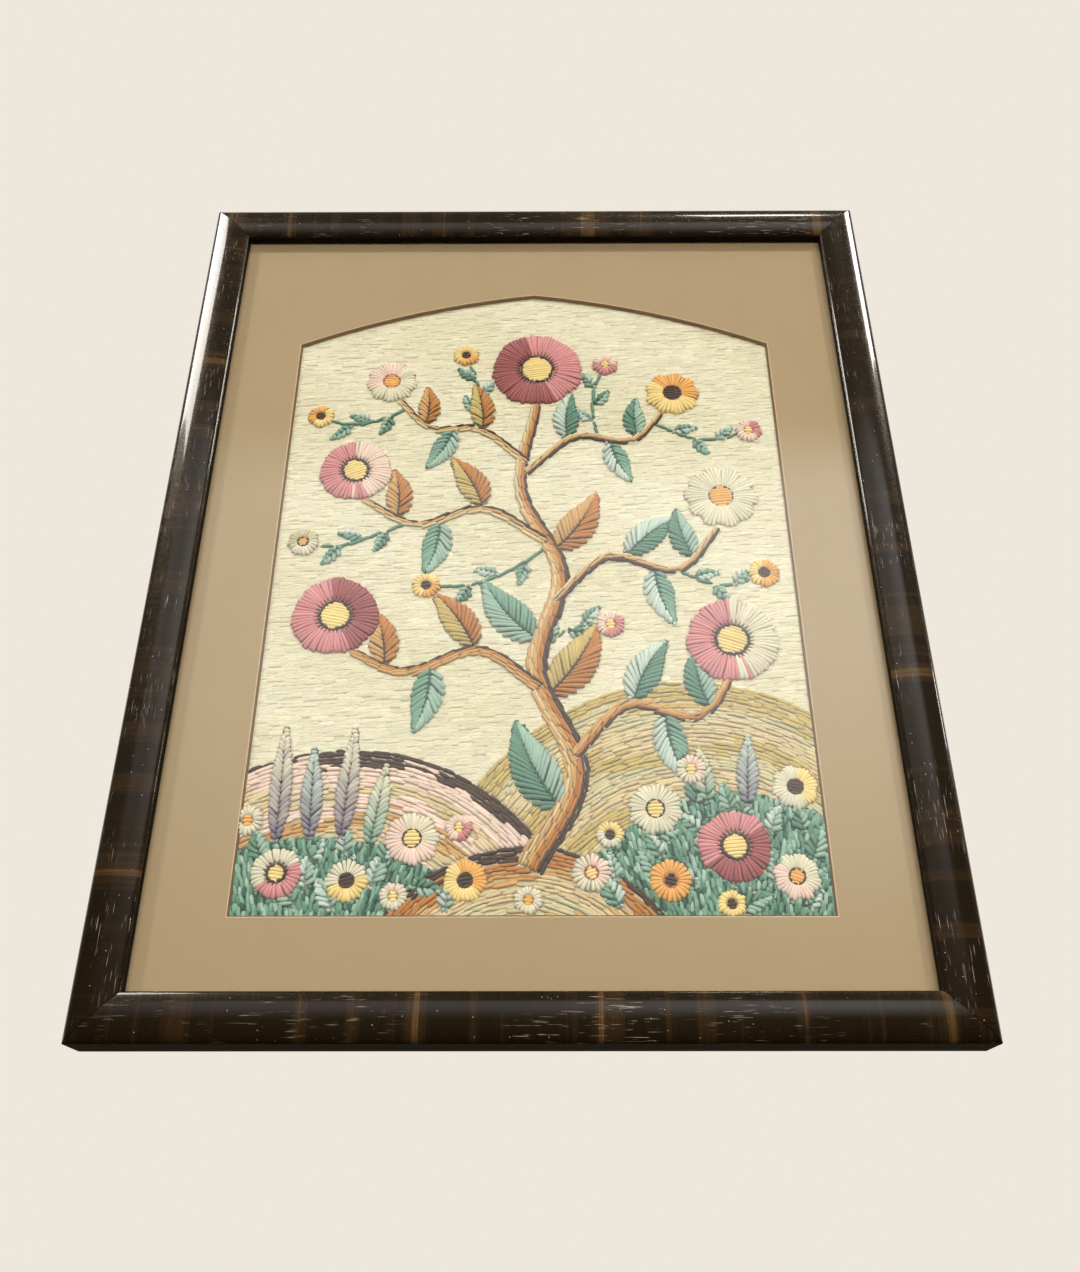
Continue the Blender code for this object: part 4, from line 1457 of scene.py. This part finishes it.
class CREWEL_OT_stage(bpy.types.Operator):
    """Set the pale floor, the soft lights and the camera below the frame"""

    bl_idname = "crewel.stage"
    bl_label = "Stage and camera"

    def execute(self, context):
        self.floor()
        self.world(context)
        context.scene.view_settings.view_transform = "Standard"
        for name, place, size, power, mirrored in LIGHTS:
            light = self.light(name, place, size, power)
            light.visible_glossy = mirrored
            light.visible_diffuse = not mirrored
        self.camera(context)
        return {"FINISHED"}

    def floor(self):
        deselect_all()
        bpy.ops.mesh.primitive_plane_add(size=8.0, location=(0.0, 0.0, FLOOR_HEIGHT))
        floor = bpy.context.active_object
        floor.name = "floor"
        finish = Finish("pale_floor")
        cloudy = finish.noise(3.0)
        colour = finish.mix(cloudy, (0.66, 0.64, 0.6, 1.0), (0.72, 0.7, 0.67, 1.0))
        floor.data.materials.append(finish.done(finish.principled(base_color=colour, roughness=0.8)))
        floor.visible_glossy = False
        floor.visible_diffuse = False

    def world(self, context):
        """A pale wall behind the panel, and in front a lit wall under a dim ceiling."""
        world = bpy.data.worlds.new("pale_room")
        context.scene.world = world
        world.use_nodes = True
        room = Nodes(world.node_tree)
        where = room.add("ShaderNodeTexCoord").outputs["Generated"]
        parts = room.add("ShaderNodeSeparateXYZ", {}, {0: where})
        side, behind, height = (room.number(parts, axis) for axis in "XYZ")
        dark, ceiling = (0.02, 0.018, 0.015, 1.0), (0.14, 0.135, 0.125, 1.0)
        within = room.ramp(side, -0.42, -0.26) - room.ramp(side, 0.27, 0.42)
        glow = (room.ramp(side, -0.1, 0.28) * 1.2 + 1.1) * within + 0.2
        lit = room.scaled((0.96, 0.97, 1.0), glow)
        opposite = room.mix(room.ramp(height, 0.12, 0.5), dark, lit)
        over_cornice = room.ramp(height + behind * 0.82, -0.09, 0.005)
        front = room.mix(over_cornice, opposite, ceiling)
        wall = room.mix(room.ramp(height, -0.14, -0.03), dark, (*linear(238, 231, 220), 1.0))
        colour = room.mix(room.ramp(behind, 0.15, 0.4), front, wall)
        background = room.add("ShaderNodeBackground", {}, {"Color": colour, "Strength": 1.0})
        room.add("ShaderNodeOutputWorld", {}, {"Surface": background.outputs[0]})

    def light(self, name, place, size, power):
        data = bpy.data.lights.new(name, "AREA")
        data.shape = "RECTANGLE"
        data.size, data.size_y = size
        data.energy = power
        data.color = (1.0, 0.975, 0.94)
        light = bpy.data.objects.new(name, data)
        bpy.context.scene.collection.objects.link(light)
        light.location = place
        towards = Vector((0.0, 0.0, PANEL_MIDDLE)) - light.location
        light.rotation_euler = towards.to_track_quat("-Z", "Y").to_euler()
        return light

    def camera(self, context):
        data = bpy.data.cameras.new("camera")
        camera = bpy.data.objects.new("camera", data)
        context.scene.collection.objects.link(camera)
        x, before_back, z = CAMERA_PLACE
        camera.location = (x, BACK_Y + before_back, z)
        camera.rotation_euler = (math.radians(90 + CAMERA_TILT), 0.0, math.radians(CAMERA_TURN))
        data.sensor_fit = "HORIZONTAL"
        data.sensor_width = 36.0
        data.lens = CAMERA_FOCUS * data.sensor_width
        data.clip_start = 0.02
        context.scene.camera = camera


class CREWEL_PT_panel(bpy.types.Panel):
    """Sidebar panel with the sizes, the wools and the steps"""

    bl_idname = "CREWEL_PT_panel"
    bl_label = "Crewel panel"
    bl_space_type = "VIEW_3D"
    bl_region_type = "UI"
    bl_category = "Crewel"

    def draw(self, context):
        for group in ("panel_sizes", "panel_wools", "panel_finishes"):
            settings = getattr(context.scene, group)
            box = self.layout.box()
            for name in settings.__annotations__:
                box.prop(settings, name)
        for step in STEPS:
            self.layout.operator(step.bl_idname)


GROUPS = (PanelSizes, PanelWools, PanelFinishes)
STEPS = (
    CREWEL_OT_cloth,
    CREWEL_OT_stitches,
    CREWEL_OT_mat,
    CREWEL_OT_boards,
    CREWEL_OT_rails,
    CREWEL_OT_stage,
)


def register():
    for item in (*GROUPS, *STEPS, CREWEL_PT_panel):
        bpy.utils.register_class(item)
    bpy.types.Scene.panel_sizes = PointerProperty(type=PanelSizes)
    bpy.types.Scene.panel_wools = PointerProperty(type=PanelWools)
    bpy.types.Scene.panel_finishes = PointerProperty(type=PanelFinishes)


def unregister():
    del bpy.types.Scene.panel_finishes
    del bpy.types.Scene.panel_wools
    del bpy.types.Scene.panel_sizes
    for item in reversed((*GROUPS, *STEPS, CREWEL_PT_panel)):
        bpy.utils.unregister_class(item)


def main():
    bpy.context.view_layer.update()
    register()
    for step in STEPS:
        group, name = step.bl_idname.split(".")
        getattr(getattr(bpy.ops, group), name)()


if __name__ == "__main__":
    main()
